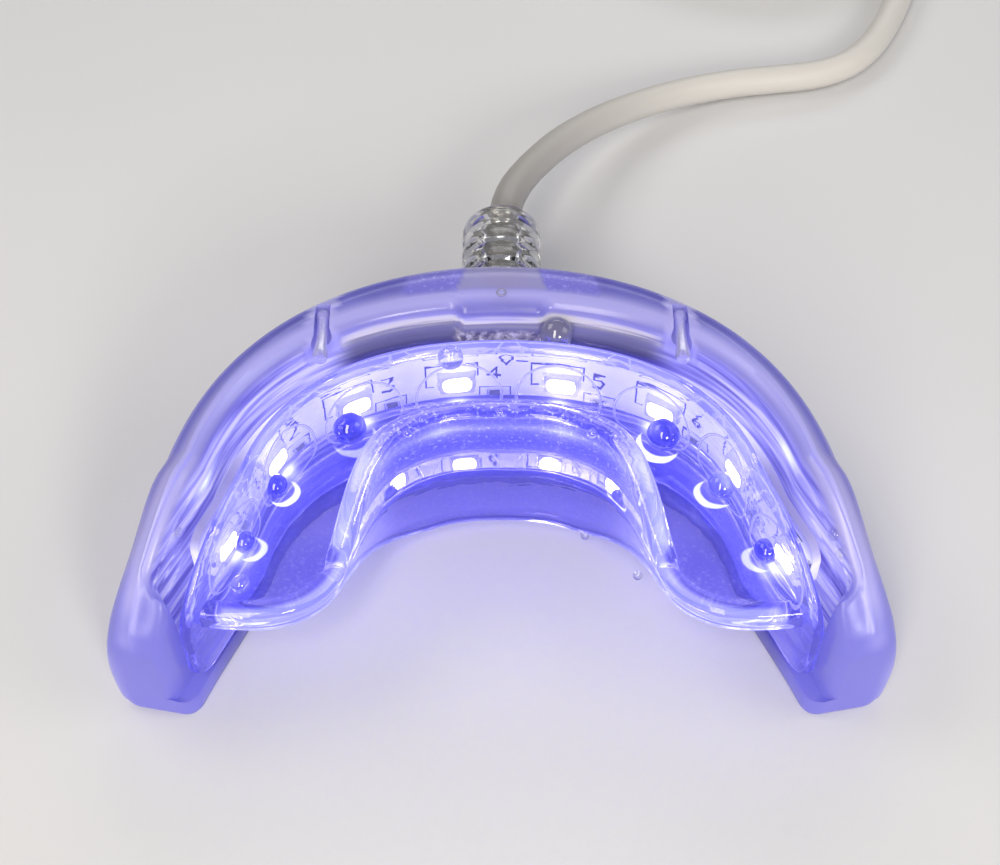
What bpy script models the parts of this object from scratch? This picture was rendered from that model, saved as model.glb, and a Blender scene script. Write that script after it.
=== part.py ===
# Teeth whitening lamp: clear mouth tray, frosted front shell, LED strip, strain relief, cord and plug
# The lamp lies flat on its lower rim, its open end towards -Y and its cord towards +Y
import math
import bmesh
import bpy
import numpy as np
from mathutils import Matrix, Vector

MM = 0.001

# Frame: the outline below is drawn about the arch, then moved so that the lamp's box is centred
SHIFT_Y = 0.15

# Arch of the lamp fronts, right half, as two cubic curves in plan
ARCH = (
    ((0.0, 3.3), (14.2, 3.3), (21.2, -3.4), (23.2, -12.8)),
    ((23.2, -12.8), (23.66, -14.95), (28.07, -23.86), (28.32, -25.88)),
)

# Front shell, measured outwards from the arch and up from the table
SHELL_H = 20.0
SHELL_T_MIDDLE = 9.6
SHELL_T_LEG = 6.75
SHELL_T_RUN = 32.7
SHELL_END_H = 9.5
SHELL_END_RUN = 12.1
SHELL_END_POWER = 1.4
SHELL_CAP = ((0.2, 0.35), (0.6, 0.6), (1.5, 0.8))
SHELL_LIP_H = 2.2
GROOVE_OUT = 2.6
GROOVE_SIDE = 43.0
GROOVE_RUN = 1.8

# Mouth tray
WALL_BACK = -0.3
WALL_FRONT = -2.1
WALL_FRONT_LEG = -1.35
WALL_FOOT = 2.5
WALL_TOP = 18.4
PLATE_LOW = 8.7
PLATE_TOP = 11.3
LINGUAL_T = 2.2
LINGUAL_TOP = 18.3
LINGUAL_FOOT = 2.2
LINGUAL = (
    (0.0, -5.5), (5.0, -5.95), (9.1, -7.75), (11.7, -10.4), (13.4, -14.0), (14.6, -17.4),
    (16.0, -20.1), (18.3, -21.7), (21.4, -22.3), (26.0, -22.0),
)

# Strip, lamps and resistors
BOARD_BACK = 1.75
BOARD_FRONT = 0.95
BOARD_LOW = 9.0
BOARD_TOP = 15.0
BOARD_LEFT = -38.4
BOARD_RIGHT = 39.7
LED_COUNT = 8
LED_PITCH = 10.15
LED_MIDDLE = 0.75
LED_Z = 12.3
LED_SIZE = (3.4, 0.72, 2.4)
RESISTOR_STEP = 3.7
RESISTOR_Z = 10.2
RESISTOR_SIZE = (1.6, 0.45, 0.85)

# Cord, strain relief and plug
CORD_D = 3.5
CORD_LENGTH = 1000.0
EXIT_Z = 10.0
RELIEF_R = 4.1
RELIEF_BORE_R = 2.1
RELIEF_ROOT_Y = 7.2
RELIEF_END_Y = 26.4
RIB_PITCH = 2.8
RIB_FIRST_Y = 15.0
RIB_COUNT = 4
ROUTE = (
    (0.0, 7.7, 10.0), (0.0, 14.0, 10.0), (0.0, 20.0, 10.0), (0.1, 26.4, 10.0), (0.8, 31.5, 9.9),
    (2.2, 35.6, 9.35), (4.3, 39.9, 8.4), (6.8, 44.4, 7.2), (10.4, 49.4, 5.7), (14.3, 53.6, 4.4),
    (19.5, 57.8, 3.1), (24.8, 60.7, 2.3), (30.0, 62.4, 2.0), (35.1, 63.3, 1.9), (40.2, 64.3, 1.9),
    (44.2, 66.4, 1.9), (47.4, 69.8, 1.9), (50.2, 74.6, 1.9), (52.8, 80.3, 1.9), (56.4, 89.6, 1.9),
    (59.4, 98.2, 2.1),
)
COIL_CENTRE = (35.6, 112.6)
COIL_START_R = 25.4
COIL_START_DEG = 0.0
COIL_STEP = 4.1
COIL_TURNS_IN = 3.34
COIL_TURNS_OUT = 3.4933
COIL_LOW_Z = 2.6
COIL_LAYER = 4.2
COIL_POINTS = 24
TIE_DEG = 200.0
PLUG_Z = 4.1
JOINT_GAP = 0.3

parts = None
cutters = None


def metres(*values):
    return tuple(v * MM for v in values)


def material(name, colour, roughness, metallic=0.0, transmission=0.0, emission=0.0):
    made = bpy.data.materials.new(name)
    made.use_nodes = True
    shader = made.node_tree.nodes["Principled BSDF"]
    shader.inputs["Base Color"].default_value = (*colour, 1.0)
    shader.inputs["Roughness"].default_value = roughness
    shader.inputs["Metallic"].default_value = metallic
    shader.inputs["Transmission Weight"].default_value = transmission
    shader.inputs["Emission Color"].default_value = (*colour, 1.0)
    shader.inputs["Emission Strength"].default_value = emission
    made.diffuse_color = (*colour, 1.0)
    return made


# Curves in plan


def bezier(points, t):
    p = np.array(points, float)
    t = np.asarray(t)[:, None]
    u = 1.0 - t
    return u**3 * p[0] + 3 * u**2 * t * p[1] + 3 * u * t**2 * p[2] + t**3 * p[3]


def catmull(points, per_span):
    """A smooth curve through the points, with chord-length spacing."""
    p = np.array(points, float)
    p = np.vstack([2 * p[0] - p[1], p, 2 * p[-1] - p[-2]])
    out = []
    for i in range(1, len(p) - 2):
        knots = [0.0]
        for a, b in zip(p[i - 1 : i + 2], p[i : i + 3]):
            knots.append(knots[-1] + max(np.linalg.norm(b - a), 1e-9) ** 0.5)
        for t in np.linspace(knots[1], knots[2], per_span, endpoint=False):
            rows = list(p[i - 1 : i + 3])
            for level in (1, 2, 3):
                rows = [
                    ((knots[j + level] - t) * rows[j] + (t - knots[j]) * rows[j + 1])
                    / (knots[j + level] - knots[j])
                    for j in range(len(rows) - 1)
                ]
            out.append(rows[0])
    out.append(p[-2])
    return np.array(out)


class Path:
    """A curve read by its length, with its direction in plan."""

    def __init__(self, points, middle=0.0):
        self.points = np.array(points, float)
        steps = np.linalg.norm(np.diff(self.points, axis=0), axis=1)
        self.s = np.concatenate([[0.0], np.cumsum(steps)]) - middle
        self.low = self.s[0]
        self.high = self.s[-1]

    def at(self, s):
        return np.array([np.interp(s, self.s, c) for c in self.points.T])

    def frame(self, s):
        """The point at s, its direction, and its normal to the left."""
        here = self.at(s)
        step = 0.35
        ahead = self.at(min(s + step, self.high)) - self.at(max(s - step, self.low))
        ahead = ahead / np.linalg.norm(ahead)
        return here, ahead, np.array([-ahead[1], ahead[0]])


def mirrored(right):
    """A whole curve from its right half, which starts on the middle."""
    left = right[:0:-1] * np.array([-1.0, 1.0])
    whole = np.vstack([left, right])
    middle = np.linalg.norm(np.diff(left, axis=0), axis=1).sum()
    middle += np.linalg.norm(left[-1] - right[0])
    return Path(whole, middle)


def arch_path():
    t = np.linspace(0.0, 1.0, 120)
    right = np.vstack([bezier(ARCH[0], t), bezier(ARCH[1], t)[1:]])
    return mirrored(right)


def lingual_path():
    points = np.array(LINGUAL)
    both = np.vstack([points[:0:-1] * np.array([-1.0, 1.0]), points])
    curve = catmull(both, 14)
    half = len(curve) // 2
    return mirrored(curve[half:])


# Solids


def finish(obj, mat, smooth_deg=40.0):
    obj.data.materials.clear()
    obj.data.materials.append(mat)
    if smooth_deg:
        obj.data.shade_smooth()
        obj.data.set_sharp_from_angle(angle=math.radians(smooth_deg))
    return obj


def link(name, mesh, helper=False):
    obj = bpy.data.objects.new(name, mesh)
    (cutters if helper else parts).objects.link(obj)
    if helper:
        obj.hide_render = True
        obj.display_type = "WIRE"
    return obj


def loft(name, rings, helper=False):
    """A closed body through rings of points that match one to one."""
    bm = bmesh.new()
    rows = [[bm.verts.new(metres(*p)) for p in ring] for ring in rings]
    count = len(rows[0])
    for a, b in zip(rows, rows[1:]):
        for i in range(count):
            j = (i + 1) % count
            bm.faces.new((a[i], a[j], b[j], b[i]))
    bm.faces.new(rows[0])
    bm.faces.new(rows[-1][::-1])
    bmesh.ops.recalc_face_normals(bm, faces=bm.faces)
    mesh = bpy.data.meshes.new(name)
    bm.to_mesh(mesh)
    bm.free()
    return link(name, mesh, helper)


def box(name, size, centre, turn=0.0, bevel=0.0, helper=False, segments=2):
    bm = bmesh.new()
    bmesh.ops.create_cube(bm, size=1.0)
    bmesh.ops.scale(bm, vec=metres(*size), verts=bm.verts)
    if bevel:
        bmesh.ops.bevel(
            bm, geom=bm.edges[:], offset=bevel * MM, segments=segments, profile=0.5, affect="EDGES"
        )
    mesh = bpy.data.meshes.new(name)
    bm.to_mesh(mesh)
    bm.free()
    obj = link(name, mesh, helper)
    obj.location = metres(*centre)
    obj.rotation_euler = (0.0, 0.0, turn)
    return obj


def rod(name, radius, start, end, sides=32, helper=False):
    bm = bmesh.new()
    a = Vector(metres(*start))
    b = Vector(metres(*end))
    turn = (b - a).to_track_quat("Z", "Y").to_matrix().to_4x4()
    bmesh.ops.create_cone(
        bm,
        cap_ends=True,
        segments=sides,
        radius1=radius * MM,
        radius2=radius * MM,
        depth=(b - a).length,
        matrix=Matrix.Translation((a + b) / 2) @ turn,
    )
    mesh = bpy.data.meshes.new(name)
    bm.to_mesh(mesh)
    bm.free()
    return link(name, mesh, helper)


def turned(name, profile, steps, helper=False):
    """A profile of (radius, y) turned about the exit axis along +Y."""
    mesh = bpy.data.meshes.new(name)
    points = [metres(r, 0.0, -y) for r, y in profile]
    mesh.from_pydata(points, [(i, (i + 1) % len(points)) for i in range(len(points))], [])
    obj = link(name, mesh, helper)
    screw = obj.modifiers.new("turn", "SCREW")
    screw.axis = "Z"
    screw.steps = steps
    screw.render_steps = steps
    screw.use_merge_vertices = True
    screw.merge_threshold = 0.00001
    screw.use_smooth_shade = True
    obj.rotation_euler = (math.radians(90.0), 0.0, 0.0)
    obj.location = metres(0.0, 0.0, EXIT_Z)
    return obj


def tube(name, points, diameter, resolution=2):
    curve = bpy.data.curves.new(name, "CURVE")
    curve.dimensions = "3D"
    curve.bevel_depth = diameter / 2 * MM
    curve.bevel_resolution = resolution
    curve.use_fill_caps = True
    curve.twist_mode = "MINIMUM"
    spline = curve.splines.new("POLY")
    spline.points.add(len(points) - 1)
    for slot, p in zip(spline.points, points):
        slot.co = (*metres(*p), 1.0)
        slot.radius = 1.0
    obj = bpy.data.objects.new(name, curve)
    parts.objects.link(obj)
    return obj


def combine(obj, other, operation):
    step = obj.modifiers.new(operation.lower(), "BOOLEAN")
    step.operation = operation
    step.object = other
    step.solver = "EXACT"
    return step


def apply_all(obj):
    """The object's mesh as its modifiers leave it."""
    bpy.context.view_layer.update()
    graph = bpy.context.evaluated_depsgraph_get()
    mesh = bpy.data.meshes.new_from_object(obj.evaluated_get(graph))
    obj.modifiers.clear()
    obj.data = mesh
    return obj


def spaced(low, high, count, ends=()):
    """Even stations, with a few extra near both ends."""
    inner = [low + e for e in ends] + [high - e for e in ends]
    even = np.linspace(low, high, count)
    near = max(ends) if ends else 0.0
    kept = [s for s in even if low + near * 1.3 < s < high - near * 1.3]
    return sorted(set([low, high] + inner + kept))


# Front shell


def end_ease(q, run, power):
    """0 at the end of a leg, 1 once the run is past."""
    t = min(max(q / run, 0.0), 1.0)
    return (1.0 - (1.0 - t) ** power) ** (1.0 / power)


def shell_height(q):
    return SHELL_END_H + (SHELL_H - SHELL_END_H) * end_ease(q, SHELL_END_RUN, SHELL_END_POWER)


def smooth(t):
    t = min(max(t, 0.0), 1.0)
    return t * t * (3.0 - 2.0 * t)


def wall_front(s):
    return WALL_FRONT + (WALL_FRONT_LEG - WALL_FRONT) * smooth((abs(s) - 10.0) / 18.0)


def shell_ring(arch, s):
    """One section of the shell: an L whose upright carries a groove, filled in at the leg ends."""
    here, ahead, out = arch.frame(s)
    height = shell_height(arch.high - abs(s))
    thick = SHELL_T_MIDDLE + (SHELL_T_LEG - SHELL_T_MIDDLE) * smooth(abs(s) / SHELL_T_RUN)
    front = wall_front(s)
    k = height / SHELL_H
    outside = [
        (front, 0.0),
        (0.0, 0.0),
        (thick * 0.5, 0.0),
        (thick - 1.9, 0.0),
        (thick - 1.05, 0.25),
        (thick - 0.55, 0.9),
        (thick - 0.32, 2.0 * k),
        (thick - 0.08, 5.0 * k),
        (thick, 9.0 * k),
        (thick - 0.06, 13.0 * k),
        (thick - 0.32, 16.3 * k),
        (thick - 0.75, 18.1 * k),
        (thick - 1.5, 19.2 * k),
        (thick - 2.6, 19.8 * k),
        (thick - 3.9, 20.0 * k),
        (thick * 0.42, 19.85 * k),
    ]
    rim = GROOVE_OUT + 0.1
    floor = SHELL_LIP_H
    grooved = [
        (rim + 0.75, 19.45 * k),
        (rim + 0.2, 18.9 * k),
        (rim, 18.0 * k),
        (rim, 12.0 * k),
        (rim, floor + 0.3),
        (rim - 0.3, floor),
        (0.9, floor),
        (0.6, floor),
        (0.35, floor),
    ]
    filled = [
        (2.9, 19.75 * k),
        (2.2, 19.6 * k),
        (1.6, 19.35 * k),
        (1.1, 19.0 * k),
        (0.75, 18.5 * k),
        (0.5, 17.8 * k),
        (0.3, 16.8 * k),
        (0.18, 15.0 * k),
        (0.1, 12.0 * k),
    ]
    fill = smooth((abs(s) - GROOVE_SIDE + GROOVE_RUN) / GROOVE_RUN)
    inside = [(a + (c - a) * fill, b + (d - b) * fill) for (a, b), (c, d) in zip(grooved, filled)]
    foot = [(0.1, floor), (front, floor)]
    return [(*(here + out * r), z) for r, z in outside + inside + foot]


def inset_ring(ring, amount, along):
    """The ring drawn in about its middle and moved on, for a rounded end."""
    p = np.array(ring)
    middle = p.mean(axis=0)
    sides = p - middle
    drawn = middle + sides * (1.0 - amount / np.abs(sides).max())
    drawn[:, :2] += along
    return [tuple(v) for v in drawn]


def make_front_shell(arch, mat):
    stations = spaced(arch.low, arch.high, 57, (0.6, 1.4, 2.0, 2.6, 3.2, 3.8, 4.6, 5.6))
    rings = [shell_ring(arch, s) for s in stations]
    for end, beyond in ((0, -1.0), (-1, 1.0)):
        _, ahead, _ = arch.frame(stations[end])
        caps = [inset_ring(rings[end], amount, ahead * beyond * reach) for amount, reach in SHELL_CAP]
        rings = caps[::-1] + rings if end == 0 else rings + caps
    obj = loft("front_shell", rings)
    gland = rod("cut_gland", RELIEF_R + 0.3, (0, 6.9, EXIT_Z), (0, 16.0, EXIT_Z), 40, True)
    core = rod("cut_core", 2.6, (0, 4.9, EXIT_Z), (0, 7.4, EXIT_Z), 24, True)
    combine(obj, gland, "DIFFERENCE")
    combine(obj, core, "DIFFERENCE")
    for side, x in (("left", -PIN_X), ("right", PIN_X)):
        slot = box("cut_pin_" + side, (2.6, 6.0, 4.0), (x, PIN_TIP_Y + 0.8 - 3.0, PIN_Z + 0.75), 0.0, 0.0, True)
        combine(obj, slot, "DIFFERENCE")
    apply_all(obj)
    return finish(obj, mat, 35.0)


# Mouth tray


def wall_ring(arch, s, shrink=0.0):
    here, ahead, out = arch.frame(s)
    q = arch.high - abs(s)
    height = shell_height(q + 0.4) * WALL_TOP / SHELL_H
    middle = (WALL_BACK + wall_front(s)) / 2
    half = (WALL_BACK - wall_front(s)) / 2 - shrink
    low = WALL_FOOT + shrink
    top = height - shrink
    section = [
        (half, low + 0.3), (half, (low + top) / 2), (half, top - 0.9),
        (half * 0.78, top - 0.32), (half * 0.4, top - 0.06), (-half * 0.4, top - 0.06),
        (-half * 0.78, top - 0.32), (-half, top - 0.9), (-half, (low + top) / 2),
        (-half, low + 0.3), (-half + 0.3, low), (half - 0.3, low),
    ]
    return [(*(here + out * (middle + r)), z) for r, z in section]


def rise(s, flat, run):
    """1 in the middle of the tray, 0 once past the run."""
    t = min(max((abs(s) - flat) / run, 0.0), 1.0)
    return 1.0 - t * t * (3.0 - 2.0 * t)


def lingual_ring(path, s):
    here, ahead, out = path.frame(s)
    up = rise(s, 10.0, 12.5)
    down = rise(s, 7.0, 16.0)
    top = PLATE_TOP + 0.1 + (LINGUAL_TOP - PLATE_TOP) * up
    low = PLATE_LOW - 0.1 - (PLATE_LOW - LINGUAL_FOOT) * down
    half = LINGUAL_T / 2 + 0.1 * up
    section = [
        (half, low + 0.9), (half, (low + top) / 2), (half, top - 0.9), (half * 0.75, top - 0.3),
        (half * 0.3, top), (-half * 0.3, top), (-half * 0.75, top - 0.3), (-half, top - 0.9),
        (-half, (low + top) / 2), (-half, low + 0.9), (-half * 0.75, low + 0.3),
        (-half * 0.3, low), (half * 0.3, low), (half * 0.75, low + 0.3),
    ]
    return [(*(here + out * r), z) for r, z in section]


def make_plate(arch, path, name, helper):
    """The flat plate between the walls, its edge buried in both."""
    outer = []
    for s in np.linspace(-40.0, 40.0, 61):
        here, _, out = arch.frame(s)
        outer.append(here + out * (wall_front(s) + WALL_BACK) / 2)
    inner = [path.at(s) for s in np.linspace(path.high - 1.2, path.low + 1.2, 61)]
    outline = [tuple(p) for p in outer + inner]
    curve = bpy.data.curves.new(name, "CURVE")
    curve.dimensions = "2D"
    curve.fill_mode = "BOTH"
    curve.extrude = (PLATE_TOP - PLATE_LOW) / 2 * MM
    spline = curve.splines.new("POLY")
    spline.use_cyclic_u = True
    spline.points.add(len(outline) - 1)
    for slot, p in zip(spline.points, outline):
        slot.co = (*metres(p[0], p[1], 0.0), 1.0)
    guide = bpy.data.objects.new(name + "_outline", curve)
    cutters.objects.link(guide)
    guide.location = metres(0.0, 0.0, (PLATE_TOP + PLATE_LOW) / 2)
    bpy.context.view_layer.update()
    graph = bpy.context.evaluated_depsgraph_get()
    mesh = bpy.data.meshes.new_from_object(guide.evaluated_get(graph))
    matrix = guide.matrix_world.copy()
    bpy.data.objects.remove(guide)
    bm = bmesh.new()
    bm.from_mesh(mesh)
    bmesh.ops.remove_doubles(bm, verts=bm.verts, dist=1e-7)
    bmesh.ops.recalc_face_normals(bm, faces=bm.faces)
    bm.to_mesh(mesh)
    bm.free()
    obj = link(name, mesh, helper)
    obj.matrix_world = matrix
    return obj


def make_mouth_tray(arch, path, mat):
    ends = (0.25, 1.0, 2.2, 3.6)
    low = arch.low + 0.35
    high = arch.high - 0.35
    stations = spaced(low, high, 53, ends)
    rings = [wall_ring(arch, s, 0.25 if s in (low, high) else 0.0) for s in stations]
    wall = loft("mouth_tray", rings)
    plate = make_plate(arch, path, "bite_plate_form", True)
    lingual = loft("lingual_form", [lingual_ring(path, s) for s in spaced(path.low, path.high, 69)], True)
    combine(wall, lingual, "UNION")
    combine(wall, plate, "UNION")
    apply_all(wall)
    return finish(wall, mat, 42.0)


# Strip, lamps, resistors and wires


def strip_ring(arch, s):
    here, ahead, out = arch.frame(s)
    section = [
        (BOARD_FRONT, BOARD_LOW), (BOARD_BACK, BOARD_LOW), (BOARD_BACK, BOARD_TOP), (BOARD_FRONT, BOARD_TOP),
    ]
    return [(*(here + out * r), z) for r, z in section]


def place_on_strip(arch, name, s, z, size, front, mat, bevel):
    """A chip whose face towards the teeth is at the given distance from the arch."""
    here, ahead, out = arch.frame(s)
    centre = here + out * (front + size[1] / 2)
    turn = math.atan2(ahead[1], ahead[0])
    obj = box(name, size, (centre[0], centre[1], z), turn, bevel)
    return finish(obj, mat, 0.0)


def make_electronics(arch, mats):
    stations = np.linspace(BOARD_LEFT, BOARD_RIGHT, 60)
    board = loft("led_board", [strip_ring(arch, s) for s in stations])
    finish(board, mats["board"], 40.0)
    for i in range(LED_COUNT):
        s = LED_MIDDLE + LED_PITCH * (i - (LED_COUNT - 1) / 2)
        place_on_strip(arch, f"led_{i + 1}", s, LED_Z, LED_SIZE, 0.0, mats["led"], 0.12)
        place_on_strip(
            arch,
            f"resistor_{i + 1}",
            s + RESISTOR_STEP,
            RESISTOR_Z,
            RESISTOR_SIZE,
            0.35,
            mats["resistor"],
            0.06,
        )
    for sign, name in ((-1.0, "positive"), (1.0, "negative")):

        def behind(s, r, z):
            here, _, out = arch.frame(sign * s)
            return (*(here + out * r), z)

        route = catmull(
            (
                (sign * 0.75, 7.35, EXIT_Z),
                (sign * 0.8, 6.7, EXIT_Z + 0.1),
                behind(1.15, 2.75, EXIT_Z + 0.5),
                behind(1.95, 2.3, EXIT_Z + 1.1),
                behind(2.85, 2.22, EXIT_Z + 1.5),
            ),
            4,
        )
        wire = tube("wire_" + name, route, 0.8, 1)
        wire.data.materials.append(mats["wire_" + name])
        start = behind(3.95, BOARD_BACK + 0.08, EXIT_Z + 1.6)
        end = behind(3.95, BOARD_BACK + 0.7, EXIT_Z + 1.6)
        pad = rod("solder_joint_" + name, 0.7, start, end, 16)
        finish(pad, mats["solder"], 30.0)


PIN_X = 16.6
PIN_Z = 18.9
PIN_TIP_Y = 5.9


def make_pins(mat):
    """Two clear pins across the groove, each with a round head in the shell."""
    for side, sign in (("left", -1.0), ("right", 1.0)):
        x = sign * PIN_X
        obj = rod("locating_pin_" + side, 0.6, (x, -0.55, PIN_Z), (x, PIN_TIP_Y, PIN_Z), 14)
        bm = bmesh.new()
        where = Matrix.Translation(Vector(metres(x, PIN_TIP_Y - 0.5, PIN_Z)))
        bmesh.ops.create_uvsphere(bm, u_segments=14, v_segments=8, radius=0.95 * MM, matrix=where)
        mesh = bpy.data.meshes.new("pin_head_" + side)
        bm.to_mesh(mesh)
        bm.free()
        head = link("pin_head_" + side, mesh, True)
        combine(obj, head, "UNION")
        apply_all(obj)
        finish(obj, mat, 50.0)


# Strain relief


def make_strain_relief(mat):
    r = RELIEF_R
    profile = [(RELIEF_BORE_R, RELIEF_ROOT_Y), (RELIEF_BORE_R, RELIEF_END_Y)]
    outer = [(r - 0.55, RELIEF_END_Y), (r - 0.16, RELIEF_END_Y - 0.2), (r, RELIEF_END_Y - 0.65)]
    for i in reversed(range(RIB_COUNT)):
        y = RIB_FIRST_Y + i * RIB_PITCH
        outer += [(r, y + 0.75), (r - 0.12, y + 0.58), (r - 0.5, y + 0.5)]
        outer += [(r - 0.5, y - 0.5), (r - 0.12, y - 0.58), (r, y - 0.75)]
    outer += [(r, RELIEF_ROOT_Y + 0.4), (r - 0.4, RELIEF_ROOT_Y)]
    obj = turned("strain_relief", profile + outer, 36)
    for i in range(RIB_COUNT):
        y = RIB_FIRST_Y + i * RIB_PITCH
        for side in (-1.0, 1.0):
            window = box(
                f"cut_window_{i}_{'l' if side < 0 else 'r'}",
                (3.2, 1.25, 4.2),
                (side * 3.3, y, EXIT_Z),
                helper=True,
            )
            combine(obj, window, "DIFFERENCE")
    apply_all(obj)
    return finish(obj, mat, 35.0)


# Cord, coil, tie and plug


def coil_points():
    """One tube wound inwards on the lower layer and outwards on the upper one."""
    start = math.radians(COIL_START_DEG)
    turns = COIL_TURNS_IN + 0.5 + COIL_TURNS_OUT
    count = int(round(turns * COIL_POINTS))
    inner_r = COIL_START_R - COIL_STEP * COIL_TURNS_IN
    points = []
    for i in range(count + 1):
        t = turns * i / count
        if t <= COIL_TURNS_IN:
            radius = COIL_START_R - COIL_STEP * t
            layer = 0.0
        elif t <= COIL_TURNS_IN + 0.5:
            u = (t - COIL_TURNS_IN) / 0.5
            radius = inner_r - COIL_STEP * 0.5 * u * (1.0 - u)
            layer = u * u * (3.0 - 2.0 * u)
        else:
            radius = inner_r + COIL_STEP * (t - COIL_TURNS_IN - 0.5)
            layer = 1.0
        angle = start + 2.0 * math.pi * t
        points.append(
            (
                COIL_CENTRE[0] + radius * math.cos(angle),
                COIL_CENTRE[1] + radius * math.sin(angle),
                COIL_LOW_Z + COIL_LAYER * layer,
            )
        )
    return np.array(points)


def length_of(points):
    return float(np.linalg.norm(np.diff(np.array(points), axis=0), axis=1).sum())


def resample(points, step):
    path = Path(points)
    count = max(2, int(round(path.high / step)) + 1)
    return np.array([path.at(s) for s in np.linspace(0.0, path.high, count)])


def self_gap(points, diameter):
    """The least distance between two runs of the tube that aren't neighbours along it."""
    fine = resample(points, 1.0)
    least = 1e9
    apart = int(math.ceil(diameter * 2.2))
    for i in range(len(fine) - apart):
        others = fine[i + apart :]
        least = min(least, np.linalg.norm(others - fine[i], axis=1).min())
    return least - diameter


def make_cord(mats):
    loops = coil_points()
    ahead = loops[-1] - loops[-2]
    ahead[2] = 0.0
    ahead /= np.linalg.norm(ahead)
    entry = loops[0]
    before = loops[0] - loops[1]
    before /= np.linalg.norm(before)
    last_two = [tuple(entry + before * (JOINT_GAP + run)) for run in (CORD_D, 0.0)]
    free = catmull(list(ROUTE) + last_two, 10)
    free_length = length_of(free)
    tail_length = CORD_LENGTH - free_length - JOINT_GAP - length_of(loops)
    last = loops[-1]
    end = last + ahead * tail_length
    end[2] = PLUG_Z
    knots = [
        last,
        last + ahead * tail_length * 0.25 + np.array([0.0, 0.0, -0.45]),
        last + ahead * tail_length * 0.6 + np.array([0.0, 0.0, -2.2]),
        end - ahead * CORD_D * 1.6,
        end,
    ]
    knots[3][2] = PLUG_Z
    tail = catmull(knots, 6)
    coil = np.vstack([loops, resample(tail, 4.5)[1:]])
    cord = tube("cord", resample(free, 7.2), CORD_D, 2)
    cord.data.materials.append(mats["cord"])
    wound = tube("cord_coil", coil, CORD_D, 1)
    wound.data.materials.append(mats["cord"])
    gap = self_gap(coil, CORD_D)
    print(f"free stretch {length_of(free):.1f} mm, coil and tail {length_of(coil):.1f} mm")
    print(f"least gap of the coil to itself {gap:.2f} mm, tail {tail_length:.1f} mm")
    return end, ahead


def make_tie(mat):
    """A flat band round all the turns on the far side of the coil."""
    inner_r = COIL_START_R - COIL_STEP * COIL_TURNS_IN - COIL_STEP * 0.25
    low_r = inner_r - CORD_D / 2 - 1.0
    high_r = COIL_START_R + CORD_D / 2 + 1.0
    top = COIL_LOW_Z + COIL_LAYER + CORD_D / 2 + 0.35
    wall = 0.4
    centre_r = (low_r + high_r) / 2
    angle = math.radians(TIE_DEG)
    x = COIL_CENTRE[0] + centre_r * math.cos(angle)
    y = COIL_CENTRE[1] + centre_r * math.sin(angle)
    z = (top + wall) / 2
    obj = box("coil_tie", (high_r - low_r + 2 * wall, 4.0, top + wall), (x, y, z), angle)
    bore = box("cut_tie", (high_r - low_r, 6.0, top - wall), (x, y, z), angle, helper=True)
    bevel = obj.modifiers.new("round", "BEVEL")
    bevel.width = 0.00035
    bevel.segments = 2
    bevel.limit_method = "ANGLE"
    combine(obj, bore, "DIFFERENCE")
    apply_all(obj)
    return finish(obj, mat, 30.0)


OVERMOULD = (20.5, 15.6, 8.2)
USB_SHELL = (12.2, 12.0, 4.5)
USB_WALL = 0.35


def make_plug(end, ahead, mats):
    turn = math.atan2(ahead[1], ahead[0])
    aside = np.array([-ahead[1], ahead[0], 0.0])

    def put(along, across, up):
        p = end + ahead * along + aside * across
        return (p[0], p[1], PLUG_Z + up)

    neck = 5.0
    body = box(
        "plug_overmould",
        OVERMOULD,
        put(JOINT_GAP + neck + OVERMOULD[0] / 2, 0.0, 0.0),
        turn,
        1.6,
        segments=3,
    )
    sleeve = rod(
        "plug_neck", 2.9, put(JOINT_GAP, 0.0, 0.0), put(JOINT_GAP + neck + 2.5, 0.0, 0.0), 20, True
    )
    combine(body, sleeve, "UNION")
    socket = box(
        "cut_plug_mouth",
        (6.0, USB_SHELL[1] + 0.5, USB_SHELL[2] + 0.5),
        put(JOINT_GAP + neck + OVERMOULD[0], 0.0, 0.0),
        turn,
        helper=True,
    )
    combine(body, socket, "DIFFERENCE")
    apply_all(body)
    finish(body, mats["cord"], 35.0)
    front = JOINT_GAP + neck + OVERMOULD[0] - 2.6
    middle = front + (USB_SHELL[0] + 2.6) / 2
    length = USB_SHELL[0] + 2.6
    shell = box("usb_shell", (length, USB_SHELL[1], USB_SHELL[2]), put(middle, 0.0, 0.0), turn, 0.3)
    hollow = box(
        "cut_usb_mouth",
        (length, USB_SHELL[1] - 2 * USB_WALL, USB_SHELL[2] - 2 * USB_WALL),
        put(middle + 0.8, 0.0, 0.0),
        turn,
        helper=True,
    )
    combine(shell, hollow, "DIFFERENCE")
    for i, across in enumerate((-2.55, 2.55)):
        window = box(
            f"cut_usb_window_{i}", (2.4, 2.4, 1.5), put(front + 8.2, across, 2.2), turn, helper=True
        )
        combine(shell, window, "DIFFERENCE")
    apply_all(shell)
    finish(shell, mats["steel"], 30.0)
    tongue_length = length - 2.0
    tongue = box(
        "usb_tongue",
        (tongue_length, USB_SHELL[1] - 1.3, 1.75),
        put(front + 1.1 + tongue_length / 2, 0.0, -0.75),
        turn,
        0.12,
    )
    finish(tongue, mats["tongue"], 0.0)
    for i, across in enumerate((-3.5, -1.0, 1.0, 3.5)):
        contact_length = 7.4 if abs(across) > 2 else 6.4
        contact = box(
            f"usb_contact_{i + 1}",
            (contact_length, 1.0, 0.22),
            put(front + length - 1.6 - contact_length / 2, across, 0.36),
            turn,
            0.05,
        )
        finish(contact, mats["gold"], 0.0)


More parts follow.
